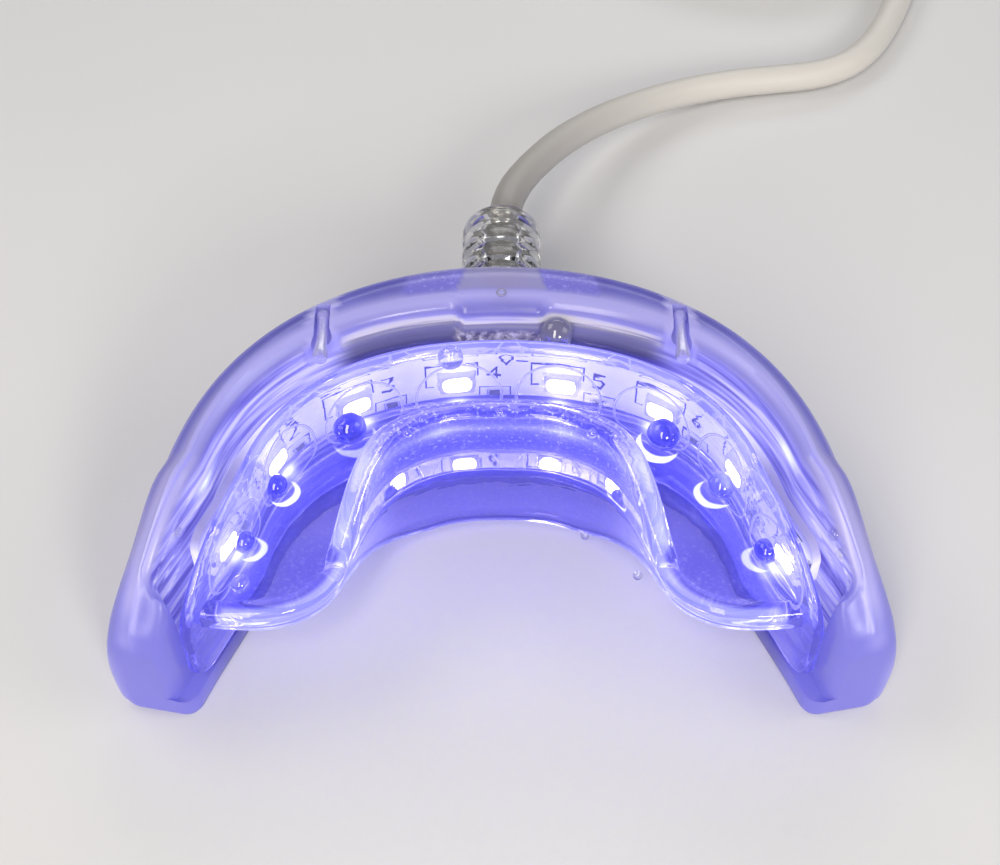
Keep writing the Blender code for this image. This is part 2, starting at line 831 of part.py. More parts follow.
def main():
    global parts, cutters
    for obj in list(bpy.data.objects):
        bpy.data.objects.remove(obj)
    scene = bpy.context.scene
    parts = bpy.data.collections.new("teeth_whitening_lamp")
    cutters = bpy.data.collections.new("cutters")
    cutters.hide_render = True
    scene.collection.children.link(parts)
    scene.collection.children.link(cutters)
    mats = {
        "tray": material("clear_tray", (0.78, 0.78, 0.98), 0.05, 0.0, 0.9),
        "shell": material("frosted_shell", (0.52, 0.50, 0.90), 0.35, 0.0, 0.4, 0.1),
        "board": material("strip_white", (0.80, 0.80, 0.92), 0.5),
        "led": material("led_lit", (0.85, 0.92, 1.0), 0.3, 0.0, 0.0, 4.0),
        "resistor": material("chip_dark", (0.06, 0.06, 0.08), 0.4),
        "solder": material("solder", (0.72, 0.72, 0.74), 0.3, 1.0),
        "wire_positive": material("wire_red", (0.62, 0.05, 0.05), 0.45),
        "wire_negative": material("wire_black", (0.03, 0.03, 0.03), 0.45),
        "relief": material("clear_sleeve", (0.84, 0.84, 0.84), 0.12, 0.0, 0.85),
        "cord": material("cord_white", (0.78, 0.77, 0.74), 0.42),
        "tie": material("tie_white", (0.80, 0.80, 0.80), 0.5),
        "steel": material("plug_steel", (0.72, 0.72, 0.72), 0.25, 1.0),
        "tongue": material("tongue_white", (0.82, 0.82, 0.80), 0.5),
        "gold": material("contact_gold", (0.90, 0.68, 0.30), 0.25, 1.0),
    }
    arch = arch_path()
    path = lingual_path()
    make_front_shell(arch, mats["shell"])
    make_mouth_tray(arch, path, mats["tray"])
    make_electronics(arch, mats)
    make_pins(mats["tray"])
    make_strain_relief(mats["relief"])
    end, ahead = make_cord(mats)
    make_tie(mats["tie"])
    make_plug(end, ahead, mats)
    for obj in list(parts.objects) + list(cutters.objects):
        if obj.parent is None:
            obj.location.y += SHIFT_Y * MM
    bpy.context.view_layer.update()


main()
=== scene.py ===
# Looks of the teeth whitening lamp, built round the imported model
import math

import bmesh
import bpy
import numpy as np
from mathutils import Matrix, Vector
from mathutils.kdtree import KDTree


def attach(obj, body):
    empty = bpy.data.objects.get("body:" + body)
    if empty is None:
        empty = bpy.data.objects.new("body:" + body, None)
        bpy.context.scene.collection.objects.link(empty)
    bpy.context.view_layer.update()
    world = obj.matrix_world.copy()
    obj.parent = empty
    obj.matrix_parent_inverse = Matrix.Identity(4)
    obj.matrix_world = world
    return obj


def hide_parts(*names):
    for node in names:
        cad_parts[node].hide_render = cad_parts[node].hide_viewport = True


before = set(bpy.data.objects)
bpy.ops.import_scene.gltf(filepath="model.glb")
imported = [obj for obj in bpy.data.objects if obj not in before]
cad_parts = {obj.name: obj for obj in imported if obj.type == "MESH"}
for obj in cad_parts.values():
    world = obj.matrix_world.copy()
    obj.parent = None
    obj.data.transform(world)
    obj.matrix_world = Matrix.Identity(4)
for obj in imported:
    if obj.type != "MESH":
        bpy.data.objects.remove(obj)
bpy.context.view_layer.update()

MM = 0.001
ROOT = "root"
UNIT = (1.0, 1.0, 1.0)

# Sizes in millimetres, the same as the model's own
SHIFT_Y = 0.15
ARCH = (
    ((0.0, 3.3), (14.2, 3.3), (21.2, -3.4), (23.2, -12.8)),
    ((23.2, -12.8), (23.66, -14.95), (28.07, -23.86), (28.32, -25.88)),
)
SHELL_H = 20.0
SHELL_T_MIDDLE = 9.6
SHELL_T_LEG = 6.75
SHELL_T_RUN = 32.7
SHELL_END_H = 9.5
SHELL_END_RUN = 12.1
SHELL_END_POWER = 1.4
SHELL_LIP_H = 2.2
GROOVE_OUT = 2.6
GROOVE_SIDE = 43.0
GROOVE_RUN = 1.8
WALL_BACK = -0.3
WALL_FRONT = -2.1
WALL_FRONT_LEG = -1.35
WALL_FOOT = 2.5
WALL_TOP = 18.4
PLATE_LOW = 8.7
PLATE_TOP = 11.3
LINGUAL_T = 2.2
LINGUAL_TOP = 18.3
LINGUAL_FOOT = 2.2
LINGUAL = (
    (0.0, -5.5), (5.0, -5.95), (9.1, -7.75), (11.7, -10.4), (13.4, -14.0), (14.6, -17.4),
    (16.0, -20.1), (18.3, -21.7), (21.4, -22.3), (26.0, -22.0),
)
BOARD_BACK = 1.75
BOARD_FRONT = 0.95
BOARD_LOW = 9.0
BOARD_TOP = 15.0
BOARD_LEFT = -38.4
BOARD_RIGHT = 39.7
LED_COUNT = 8
LED_PITCH = 10.15
LED_MIDDLE = 0.75
LED_Z = 12.3
RESISTOR_STEP = 3.7
RESISTOR_Z = 10.2
CORD_D = 3.5
CORD_LENGTH = 1000.0
EXIT_Z = 10.0
RELIEF_R = 4.1
RELIEF_BORE_R = 2.1
RELIEF_ROOT_Y = 7.2
RELIEF_END_Y = 26.4
RIB_PITCH = 2.8
RIB_FIRST_Y = 15.0
RIB_COUNT = 4
ROUTE = (
    (0.0, 7.7, 10.0), (0.0, 14.0, 10.0), (0.0, 20.0, 10.0), (0.1, 26.4, 10.0), (0.8, 31.5, 9.9),
    (2.2, 35.6, 9.35), (4.3, 39.9, 8.4), (6.8, 44.4, 7.2), (10.4, 49.4, 5.7), (14.3, 53.6, 4.4),
    (19.5, 57.8, 3.1), (24.8, 60.7, 2.3), (30.0, 62.4, 2.0), (35.1, 63.3, 1.9), (40.2, 64.3, 1.9),
    (44.2, 66.4, 1.9), (47.4, 69.8, 1.9), (50.2, 74.6, 1.9), (52.8, 80.3, 1.9), (56.4, 89.6, 1.9),
    (59.4, 98.2, 2.1),
)
COIL_CENTRE = (35.6, 112.6)
COIL_START_R = 25.4
COIL_STEP = 4.1
COIL_TURNS_IN = 3.34
COIL_TURNS_OUT = 3.4933
COIL_LOW_Z = 2.6
COIL_LAYER = 4.2
PLUG_Z = 4.1
JOINT_GAP = 0.3
PIN_X = 16.6
PIN_Z = 18.9
PIN_TIP_Y = 5.9
OVERMOULD = (20.5, 15.6, 8.2)
USB_SHELL = (12.2, 12.0, 4.5)
USB_WALL = 0.35
PLUG_NECK = 5.0

# Small forms that only the looks have
PIN_SHY = 0.6
SHELL_PAST_END = 0.8
END_ROUND_OUT = 2.3
END_ROUND_IN = 1.9
END_ROUND_LOW = 0.9
LEDGES = (17.4, 15.3, 13.3)
FILLED = (
    (2.9, 19.75), (2.2, 19.6), (1.6, 19.35), (1.1, 19.0), (0.75, 18.5), (0.5, 17.8),
    (0.36, 16.8), (0.28, 15.8), (0.2, 14.6), (0.14, 13.4), (0.1, 12.0),
)
LEDGE_STEP = 0.15
RIM = GROOVE_OUT + 0.1
WALL_LEVELS = 9
WALL_SHORT = 1.3
WALL_END_ROUND = 0.5
WALL_TIP_TOP = 2.0
WALL_TIP_LOW = 3.2
RIDGE_LEVELS = 20
PLATE_SIDE = 40.0
FILLET = 1.0
FILLET_STEPS = 7
PLATE_SPANS = 8
BOARD_SHORT = 1.4
BOARD_CORNER = 1.9
RING_R = 4.35
RING_WIRE = 0.15
MARK_Y = 7.2
MARK_Z = 19.89
MARK_R = 0.42
MARK_WIRE = 0.09
PIN_HEAD_R = 0.82
PIN_BORE_R = 0.92
GLAND_GAP = 0.3
CORE_BORE_R = 2.6
SLEEVE_WINDOW = (3.2, 1.25, 4.2)
SLEEVE_WINDOW_X = 3.3
SLEEVE_SOFT = 0.12
WIRE_D = 0.8
NECK_D = 5.8
NECK_WAIST_D = 5.0
NECK_RIB_PITCH = 1.35
GRIP_RIB_PITCH = 1.7
GRIP_RIB_DEEP = 0.55
USB_ROOT = 2.6
USB_WINDOW = (2.4, 2.4, 1.5)
USB_WINDOW_ACROSS = 2.55
BOARD_SOFT = 0.06
DIGIT_SIZE = 1.7

# Drops of the moulding: place, radius and material, and how much light six of them throw
BEADS = (
    (-14.2, -2.9, 12.1, 1.6, "bead"), (-20.5, -9.6, 11.9, 1.15, "bead"), (-22.7, -16.0, 12.1, 1.03, "bead"),
    (-22.6, -20.1, 11.6, 0.84, "drop"), (-4.7, 0.87, 17.75, 1.2, "drop"), (5.2, 4.6, 17.0, 1.6, "haze"),
    (15.1, -3.6, 12.0, 1.6, "bead"), (20.0, -9.5, 11.8, 1.3, "bead"), (23.2, -17.1, 12.3, 1.16, "bead"),
    (-0.2, -6.1, 18.2, 0.33, "drop"), (8.0, -8.3, 17.8, 0.5, "drop"), (-8.3, -8.4, 17.9, 0.42, "drop"),
    (8.0, -8.4, 2.7, 0.45, "drop"), (12.6, -14.3, 4.5, 0.45, "drop"), (-28.0, -17.4, 15.5, 0.6, "drop"),
    (28.4, -18.2, 16.3, 0.65, "drop"), (28.8, -19.7, 15.5, 0.5, "drop"),
)
BEAD_LIGHT = ((0, 0.5), (1, 0.9), (2, 0.7), (6, 1.0), (7, 0.8), (8, 0.6))
BEAD_FACETS = 28
BEAD_AXIS = (0.0, -0.64, 0.77)

# Where that light goes: towards this y, with its shift and reach in radii of the drop
LIGHT_AIM_Y = -24.0
LIGHT_SHIFT = 0.66
LIGHT_REACH = 1.32

# The print on the strip: its depth, and the numerals as lines through points
PRINT_FRONT = BOARD_FRONT - 0.035
PRINT_BACK = BOARD_FRONT + 0.02
DIGITS = (
    ((0.35, 0.0), (0.35, 1.0), (0.15, 0.8)),
    ((0.0, 0.85), (0.2, 1.0), (0.5, 1.0), (0.65, 0.8), (0.0, 0.0), (0.65, 0.0)),
    ((0.0, 1.0), (0.6, 1.0), (0.3, 0.58), (0.62, 0.4), (0.62, 0.15), (0.4, 0.0), (0.0, 0.05)),
    ((0.5, 0.0), (0.5, 1.0), (0.0, 0.3), (0.7, 0.3)),
    ((0.6, 1.0), (0.05, 1.0), (0.05, 0.58), (0.45, 0.58), (0.62, 0.35), (0.45, 0.0), (0.0, 0.05)),
    ((0.55, 1.0), (0.1, 0.5), (0.05, 0.2), (0.3, 0.0), (0.6, 0.2), (0.5, 0.5), (0.1, 0.45)),
    ((0.0, 1.0), (0.62, 1.0), (0.2, 0.0)),
)

# The camera: its lens in millimetres, its place in metres and its tilt from straight down
CAMERA_LENS = 55.8
CAMERA_PLACE = (-0.00014, -0.0964 + SHIFT_Y * MM, 0.1229)
CAMERA_TILT = 40.0


def m(p):
    """A point of the drawing, in millimetres, as metres in the shared frame."""
    return Vector((p[0] * MM, (p[1] + SHIFT_Y) * MM, p[2] * MM))


def link(name, data, mats=(), smooth_deg=40.0):
    obj = bpy.data.objects.new(name, data)
    bpy.context.scene.collection.objects.link(obj)
    for mat in mats:
        data.materials.append(mat)
    if smooth_deg:
        smooth_shade(data, smooth_deg)
    return obj


# Camera and lights


def make_camera():
    data = bpy.data.cameras.new("camera")
    data.sensor_width = 36.0
    data.lens = CAMERA_LENS
    data.clip_start = 0.001
    cam = link("camera", data, smooth_deg=0)
    cam.location = CAMERA_PLACE
    cam.rotation_euler = (math.radians(CAMERA_TILT), 0.0, 0.0)
    bpy.context.scene.camera = cam


def soft_light(name, place, at, size, power, colour):
    data = bpy.data.lights.new(name, "AREA")
    data.shape = "RECTANGLE"
    data.size, data.size_y = size
    data.energy = power
    data.color = colour
    lamp = link(name, data, smooth_deg=0)
    lamp.location = place
    lamp.rotation_euler = (lamp.location - Vector(at)).to_track_quat("Z", "Y").to_euler()


# Curves in plan


def bezier(points, t):
    p = np.array(points, float)
    t = np.asarray(t)[:, None]
    u = 1.0 - t
    return u**3 * p[0] + 3 * u**2 * t * p[1] + 3 * u * t**2 * p[2] + t**3 * p[3]


def catmull(points, per_span):
    p = np.array(points, float)
    p = np.vstack([2 * p[0] - p[1], p, 2 * p[-1] - p[-2]])
    out = []
    for i in range(1, len(p) - 2):
        knots = [0.0]
        for a, b in zip(p[i - 1 : i + 2], p[i : i + 3]):
            knots.append(knots[-1] + max(np.linalg.norm(b - a), 1e-9) ** 0.5)
        for t in np.linspace(knots[1], knots[2], per_span, endpoint=False):
            rows = list(p[i - 1 : i + 3])
            for level in (1, 2, 3):
                rows = [
                    ((knots[j + level] - t) * rows[j] + (t - knots[j]) * rows[j + 1])
                    / (knots[j + level] - knots[j])
                    for j in range(len(rows) - 1)
                ]
            out.append(rows[0])
    out.append(p[-2])
    return np.array(out)


class Path:
    """A curve read by its length, with its direction in plan."""

    def __init__(self, points, middle=0.0):
        self.points = np.array(points, float)
        steps = np.linalg.norm(np.diff(self.points, axis=0), axis=1)
        self.s = np.concatenate([[0.0], np.cumsum(steps)]) - middle
        self.low = self.s[0]
        self.high = self.s[-1]

    def at(self, s):
        return np.array([np.interp(s, self.s, c) for c in self.points.T])

    def frame(self, s):
        here = self.at(s)
        step = 0.35
        ahead = self.at(min(s + step, self.high)) - self.at(max(s - step, self.low))
        ahead = ahead / np.linalg.norm(ahead)
        return here, ahead, np.array([-ahead[1], ahead[0]])


def mirrored(right):
    left = right[:0:-1] * np.array([-1.0, 1.0])
    whole = np.vstack([left, right])
    middle = np.linalg.norm(np.diff(left, axis=0), axis=1).sum()
    middle += np.linalg.norm(left[-1] - right[0])
    return Path(whole, middle)


def arch_path():
    t = np.linspace(0.0, 1.0, 240)
    return mirrored(np.vstack([bezier(ARCH[0], t), bezier(ARCH[1], t)[1:]]))


def lingual_path():
    points = np.array(LINGUAL)
    both = np.vstack([points[:0:-1] * np.array([-1.0, 1.0]), points])
    curve = catmull(both, 24)
    return mirrored(curve[len(curve) // 2 :])


def smooth(t):
    t = min(max(t, 0.0), 1.0)
    return t * t * (3.0 - 2.0 * t)


def step(x, low, high):
    t = np.clip((x - low) / (high - low), 0.0, 1.0)
    return t * t * (3.0 - 2.0 * t)


def fall(x, low, high):
    return 1.0 - step(x, low, high)


def bell(x, middle, width):
    """1 at the middle, falling off smoothly to both sides."""
    return np.exp(-(((x - middle) / width) ** 2))


def end_ease(q, run, power):
    t = min(max(q / run, 0.0), 1.0)
    return (1.0 - (1.0 - t) ** power) ** (1.0 / power)


def shell_height(q):
    return SHELL_END_H + (SHELL_H - SHELL_END_H) * end_ease(q, SHELL_END_RUN, SHELL_END_POWER)


def shell_thickness(s):
    return SHELL_T_MIDDLE + (SHELL_T_LEG - SHELL_T_MIDDLE) * smooth(abs(s) / SHELL_T_RUN)


def wall_front(s):
    return WALL_FRONT + (WALL_FRONT_LEG - WALL_FRONT) * smooth((abs(s) - 10.0) / 18.0)


ARCH_PATH = arch_path()
SHELL_END = ARCH_PATH.high + SHELL_PAST_END
LINGUAL_PATH = lingual_path()


def on_arch(s, r, z):
    """The point at length s along the arch, r outwards from it and z up, in millimetres."""
    here, _, out = ARCH_PATH.frame(s)
    return (here[0] + out[0] * r, here[1] + out[1] * r, z)


def beyond_arch(s, r, z):
    """As on_arch, but running straight on past either end."""
    inside = min(max(s, ARCH_PATH.low), ARCH_PATH.high)
    here, ahead, out = ARCH_PATH.frame(inside)
    p = here + ahead * (s - inside) + out * r
    return (p[0], p[1], z)


def quarter(q, corner):
    """How far a round corner draws a side in, q before the end."""
    short = 1.0 - min(max(q / corner, 0.0), 1.0)
    return corner * (1.0 - math.sqrt(1.0 - short * short))


def led_places():
    return [LED_MIDDLE + LED_PITCH * (i - (LED_COUNT - 1) / 2) for i in range(LED_COUNT)]


# Materials


class Nodes:
    """A small helper that adds and joins shader nodes."""

    def __init__(self, name, colour, roughness, **sockets):
        self.mat = bpy.data.materials.new(name)
        self.mat.use_nodes = True
        self.mat.diffuse_color = (*colour, 1.0)
        self.tree = self.mat.node_tree
        self.shader = self.tree.nodes["Principled BSDF"]
        self.set(base_color=colour, roughness=roughness, **sockets)

    def feed(self, socket, value):
        """Sets a socket to a number or a colour, or joins another node to it."""
        if isinstance(value, bpy.types.NodeSocket):
            self.tree.links.new(value, socket)
        else:
            socket.default_value = (*value, 1.0) if socket.type == "RGBA" else value

    def set(self, **values):
        """Feeds the surface's own sockets."""
        for key, value in values.items():
            self.feed(self.shader.inputs[key.replace("_", " ").title().replace("Ior", "IOR")], value)

    def add(self, kind, inputs, **properties):
        node = self.tree.nodes.new("ShaderNode" + kind)
        for key, value in properties.items():
            setattr(node, key, value)
        for key, value in inputs.items():
            self.feed(node.inputs[key], value)
        return node

    def coordinates(self, scale=UNIT):
        place = self.add("TexCoord", {}).outputs["Object"]
        return self.add("Mapping", {"Vector": place, "Scale": scale}).outputs["Vector"]

    def noise(self, scale, detail=3.0, roughness=0.5, stretch=UNIT, place=None):
        place = place or self.coordinates(stretch)
        inputs = {"Vector": place, "Scale": scale, "Detail": detail, "Roughness": roughness}
        return self.add("TexNoise", inputs).outputs["Fac"]

    def ramp(self, fac, *stops):
        node = self.add("ValToRGB", {"Fac": fac})
        elements = node.color_ramp.elements
        while len(elements) < len(stops):
            elements.new(0.5)
        for element, (place, colour) in zip(elements, stops):
            element.position = place
            element.color = (*colour, 1.0)
        return node.outputs["Color"]

    def scaled(self, fac, low, high, from_low=0.0, from_high=1.0):
        limits = {"From Min": from_low, "From Max": from_high, "To Min": low, "To Max": high}
        return self.add("MapRange", {"Value": fac, **limits}).outputs["Result"]

    def attribute(self, name, output="Fac"):
        return self.add("Attribute", {}, attribute_name=name).outputs[output]

    def mix(self, fac, a, b):
        return self.add("Mix", {0: fac, 6: a, 7: b}, data_type="RGBA").outputs[2]

    def over(self, base, name, colour):
        """The base with a colour laid over it where the mesh's named value is 1."""
        return self.mix(self.attribute(name), base, colour)

    def times(self, a, b):
        return self.add("Math", {0: a, 1: b}, operation="MULTIPLY").outputs[0]

    def plus(self, *values):
        total = values[0]
        for value in values[1:]:
            total = self.add("Math", {0: total, 1: value}, operation="ADD").outputs[0]
        return total

    def distance(self, place):
        """How far each point of the surface is from a place, in metres."""
        ends = {0: self.coordinates(), 1: place}
        return self.add("VectorMath", ends, operation="DISTANCE").outputs["Value"]

    def bump(self, height, strength, distance):
        node = self.add("Bump", {"Height": height, "Strength": strength, "Distance": distance})
        self.set(normal=node.outputs["Normal"])
        return self.mat


def crescent(n, wobble, x, y, z, size):
    """The bright curve of light that a bead throws inwards onto the plate."""
    run = math.hypot(x, y - LIGHT_AIM_Y) / (LIGHT_SHIFT * size)
    reach = LIGHT_REACH * size
    ahead = n.distance(m((x - x / run, y - (y - LIGHT_AIM_Y) / run, z - 0.2 * size)))
    inside = n.scaled(n.plus(ahead, wobble), 1.0, 0.0, (reach - 0.08) * MM, (reach + 0.08) * MM)
    beyond = n.scaled(n.plus(n.distance(m((x, y, z))), wobble), 0.0, 1.0, reach * MM, (reach + 0.2) * MM)
    return n.times(inside, beyond)


def tray_material():
    n = Nodes("clear_tray", (0.62, 0.59, 1.0), 0.04, transmission_weight=1.0, ior=1.45)
    flow = n.noise(260.0, 2.0, 0.5, (1.0, 1.0, 3.0))
    specks = n.scaled(n.noise(2600.0, 2.0, 0.6), 0.0, 1.0, 0.56, 0.70)
    glow = n.attribute("glow")
    tint = n.mix(specks, (0.50, 0.47, 0.98), (0.66, 0.64, 1.0))
    # Painted shade: where deep is 1 the tray is tinted a darker blue, standing in for shade and the dark seen
    # through it
    tint = n.over(tint, "deep", n.mix(specks, (0.26, 0.23, 0.88), (0.62, 0.62, 1.0)))
    tint = n.over(n.mix(glow, tint, (0.88, 0.88, 1.0)), "wall", (0.86, 0.86, 1.0))
    wobble = n.scaled(flow, -0.0005, 0.0005)
    # Painted highlights: glint spots and the crescents beside the beads are emission on the tray, not lamp
    # light
    thrown = [n.times(crescent(n, wobble, *BEADS[i][:4]), share) for i, share in BEAD_LIGHT]
    caught = n.plus(n.attribute("caught"), *thrown)
    # Painted glints: this mask gives speckled emission on the ridge's front here, and painted shade through
    # the deep tint
    mottle = n.times(specks, n.attribute("mottle"))
    lit = n.mix(n.plus(glow, caught, mottle), (0.20, 0.18, 1.0), (0.66, 0.70, 1.0))
    power = n.plus(n.scaled(glow, 0.09, 0.70), n.times(caught, 1.6), n.times(mottle, 0.5))
    n.set(base_color=tint, roughness=n.scaled(flow, 0.015, 0.07), emission_color=lit, emission_strength=power)
    return n.bump(flow, 0.18, 0.0003)


def shell_material():
    n = Nodes(
        "frosted_shell", (0.45, 0.43, 0.92), 0.34,
        transmission_weight=0.42, ior=1.45, coat_roughness=0.2,
    )
    cloud = n.noise(150.0, 4.0, 0.6, (1.0, 1.0, 0.6))
    tint = n.ramp(cloud, (0.32, (0.10, 0.092, 0.43)), (0.68, (0.165, 0.155, 0.60)))
    # Painted light among these: rim is a pale band of painted light along the groove's top, leg a lighter
    # tint on the legs, and the pale yellow stripe a painted highlight along each leg
    for name, colour in (
        ("outer", (0.11, 0.097, 0.84)), ("leg", (0.23, 0.22, 0.70)), ("cream", (0.70, 0.64, 0.72)),
        ("skirt", n.ramp(cloud, (0.3, (0.34, 0.32, 0.80)), (0.7, (0.46, 0.44, 0.88)))),
        ("rim", (0.52, 0.50, 0.90)),
    ):
        tint = n.over(tint, name, colour)
    flow = n.noise(1.4, 2.5, 0.55, place=n.attribute("flow", "Vector"))
    # Painted reflections: light and dark lines along the groove, and between the pins a dark reflection band
    # under a pale yellow highlight line, set by height
    streak = n.ramp(
        flow, (0.30, (0.10, 0.08, 0.46)), (0.43, (0.26, 0.24, 0.70)),
        (0.52, (0.44, 0.42, 0.84)), (0.66, (0.82, 0.80, 0.96)),
    )
    clear = n.ramp(
        n.plus(n.attribute("level"), n.scaled(flow, -0.13, 0.13)), (0.12, (0.07, 0.06, 0.42)),
        (0.22, (0.05, 0.045, 0.15)), (0.45, (0.15, 0.145, 0.24)), (0.66, (0.26, 0.25, 0.34)),
        (0.715, (0.86, 0.82, 0.70)), (0.78, (0.80, 0.78, 0.80)), (0.84, (0.40, 0.38, 0.74)),
    )
    specks = n.scaled(n.noise(2400.0, 2.0, 0.6), 0.0, 1.0, 0.55, 0.72)
    worn = n.ramp(
        n.noise(1300.0, 3.0, 0.7), (0.40, (0.09, 0.08, 0.08)), (0.52, (0.42, 0.38, 0.32)),
        (0.64, (0.84, 0.80, 0.70)),
    )
    tint = n.over(tint, "groove", n.over(streak, "middle", clear))
    tint = n.over(tint, "pocket", n.mix(specks, (0.22, 0.20, 0.70), (0.42, 0.40, 0.90)))
    tint = n.over(n.over(tint, "boss", (0.36, 0.34, 0.56)), "cable_end", worn)
    # Painted glints in the groove; and painted glow: the whole shell gives off its own tint, more near the
    # lamps and on the legs
    tint = n.over(tint, "caught", (0.78, 0.84, 1.0))
    power = n.plus(n.scaled(n.attribute("glow"), 0.12, 0.45), n.times(n.attribute("caught"), 0.8))
    n.set(
        base_color=tint, emission_color=tint, emission_strength=power,
        roughness=n.scaled(n.noise(900.0, 2.0), 0.28, 0.42),
        coat_weight=n.scaled(n.attribute("leg"), 0.5, 0.1),
    )
    return n.bump(n.noise(1500.0, 2.0, 0.6), 0.2, 0.0001)


def board_material():
    n = Nodes("strip_white", (0.84, 0.83, 0.97), 0.45, emission_color=(0.78, 0.77, 1.0))
    white = n.mix(n.noise(500.0, 3.0), (0.80, 0.79, 0.95), (0.88, 0.87, 0.99))
    glow, bare = n.attribute("glow"), n.attribute("bare")
    # Painted shade: the strip's upper part towards the legs is darker and glows less
    n.set(base_color=n.mix(bare, white, (0.36, 0.34, 0.68)))
    n.set(emission_strength=n.times(n.scaled(glow, 0.30, 0.90), n.scaled(bare, 1.0, 0.15)))
    return n.bump(n.noise(1200.0, 2.0), 0.12, 0.00005)


def plain_material(name, colour, roughness, grain=0.0, grain_scale=1500.0, vary=0.06, **sockets):
    """A moulded or painted surface with slight variation in its colour, gloss and grain."""
    n = Nodes(name, colour, roughness, **sockets)
    dark = tuple(max(0.0, c * (1.0 - vary)) for c in colour)
    light = tuple(min(1.0, c * (1.0 + vary * 0.6)) for c in colour)
    gloss = n.scaled(n.noise(700.0, 2.0), roughness * 0.85, min(1.0, roughness * 1.18))
    n.set(base_color=n.mix(n.noise(220.0, 3.0, 0.55), dark, light), roughness=gloss)
    if grain:
        n.bump(n.noise(grain_scale, 2.0, 0.6), grain, 0.00005)
    return n.mat


def metal_material(name, colour, roughness, stretch):
    n = Nodes(name, colour, roughness, metallic=1.0)
    brush = n.noise(900.0, 3.0, 0.6, stretch)
    n.set(roughness=n.scaled(brush, roughness * 0.7, roughness * 1.5))
    n.set(base_color=n.mix(brush, tuple(c * 0.88 for c in colour), colour))
    return n.bump(brush, 0.06, 0.00003)


def cord_material():
    """The cord's white, with painted shade making it greyer where it leaves the sleeve."""
    n = Nodes("cord_white", (0.66, 0.635, 0.60), 0.42)
    place = n.add("SeparateXYZ", {"Vector": n.coordinates()})
    # Painted shade: darker grey near the sleeve, fading out further along
    near = n.scaled(place.outputs["Y"], 1.0, 0.0, 0.028, 0.060)
    white = n.mix(n.noise(220.0, 3.0, 0.55), (0.64, 0.616, 0.582), (0.67, 0.645, 0.612))
    n.set(base_color=n.mix(near, white, (0.30, 0.288, 0.284)))
    n.set(roughness=n.scaled(n.noise(700.0, 2.0), 0.36, 0.50))
    return n.bump(n.noise(2200.0, 2.0, 0.6), 0.15, 0.00005)


def lit_material():
    n = Nodes("led_lit", (0.9, 0.9, 1.0), 0.3, emission_color=(0.20, 0.18, 1.0))
    n.set(emission_strength=n.scaled(n.noise(900.0, 1.0), 26.0, 30.0))
    return n.mat


# Meshes


def smooth_shade(mesh, degrees):
    mesh.shade_smooth()
    mesh.set_sharp_from_angle(angle=math.radians(degrees))


def ride(obj, slot, *nodes):
    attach(obj, ROOT)
    if nodes:
        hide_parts(*nodes)
    return obj


def mesh_from(bm, name):
    """The mesh of some finished work, with its faces turned outwards."""
    bmesh.ops.recalc_face_normals(bm, faces=bm.faces)
    mesh = bpy.data.meshes.new(name)
    bm.to_mesh(mesh)
    bm.free()
    return mesh


def skin(bm, rows, looped=False):
    """Faces between rows of vertices that match one to one, joined in a loop or capped."""
    count = len(rows[0])
    for a, b in zip(rows, rows[1:] + rows[:1] if looped else rows[1:]):
        for i in range(count):
            j = (i + 1) % count
            bm.faces.new((a[i], a[j], b[j], b[i]))
    if not looped:
        bm.faces.new(rows[0])
        bm.faces.new(rows[-1][::-1])


def grid_mesh(name, rings, looped=False):
    """A mesh through rings of points in millimetres."""
    bm = bmesh.new()
    skin(bm, [[bm.verts.new(m(p)) for p in ring] for ring in rings], looped)
    return mesh_from(bm, name)


def loft(name, rings, mats=(), smooth_deg=40.0, looped=False):
    return link(name, grid_mesh(name, rings, looped), mats, smooth_deg)


def stations(low, high, near, *middle):
    """Places along the arch, with near ones at both ends."""
    return np.concatenate([low + near, *middle, (high - near)[::-1]])


def solid_box(name, size, centre, turn=0.0):
    bm = bmesh.new()
    bmesh.ops.create_cube(bm, size=1.0)
    bmesh.ops.scale(bm, vec=[v * MM for v in size], verts=bm.verts)
    bmesh.ops.rotate(bm, matrix=Matrix.Rotation(turn, 3, "Z"), verts=bm.verts)
    bmesh.ops.translate(bm, vec=m(centre), verts=bm.verts)
    return link(name, mesh_from(bm, name), smooth_deg=0)


def solid_rod(name, radius, start, end, sides=48):
    bm = bmesh.new()
    a, b = m(start), m(end)
    turn = (b - a).to_track_quat("Z", "Y").to_matrix().to_4x4()
    bmesh.ops.create_cone(
        bm, cap_ends=True, segments=sides, radius1=radius * MM, radius2=radius * MM,
        depth=(b - a).length, matrix=Matrix.Translation((a + b) / 2) @ turn,
    )
    return link(name, mesh_from(bm, name), smooth_deg=0)


def tube(name, points, width, mat, facets):
    """A round lead along a line of points."""
    curve = bpy.data.curves.new(name, "CURVE")
    curve.dimensions = "3D"
    curve.bevel_depth = width / 2 * MM
    curve.bevel_resolution = facets
    curve.use_fill_caps = True
    spline = curve.splines.new("POLY")
    spline.points.add(len(points) - 1)
    for slot, p in zip(spline.points, points):
        slot.co = (*m(p), 1.0)
    return link(name, curve, (mat,), 0)


def evaluated_mesh(obj):
    bpy.context.view_layer.update()
    graph = bpy.context.evaluated_depsgraph_get()
    return bpy.data.meshes.new_from_object(obj.evaluated_get(graph))


def boolean(obj, others, operation, smooth_deg):
    """Cuts or joins the others, which are then removed."""
    for other in others:
        change = obj.modifiers.new("b", "BOOLEAN")
        change.operation = operation
        change.object = other
        change.solver = "EXACT"
    mesh = evaluated_mesh(obj)
    obj.modifiers.clear()
    obj.data = mesh
    for other in others:
        bpy.data.objects.remove(other)
    if smooth_deg:
        smooth_shade(mesh, smooth_deg)


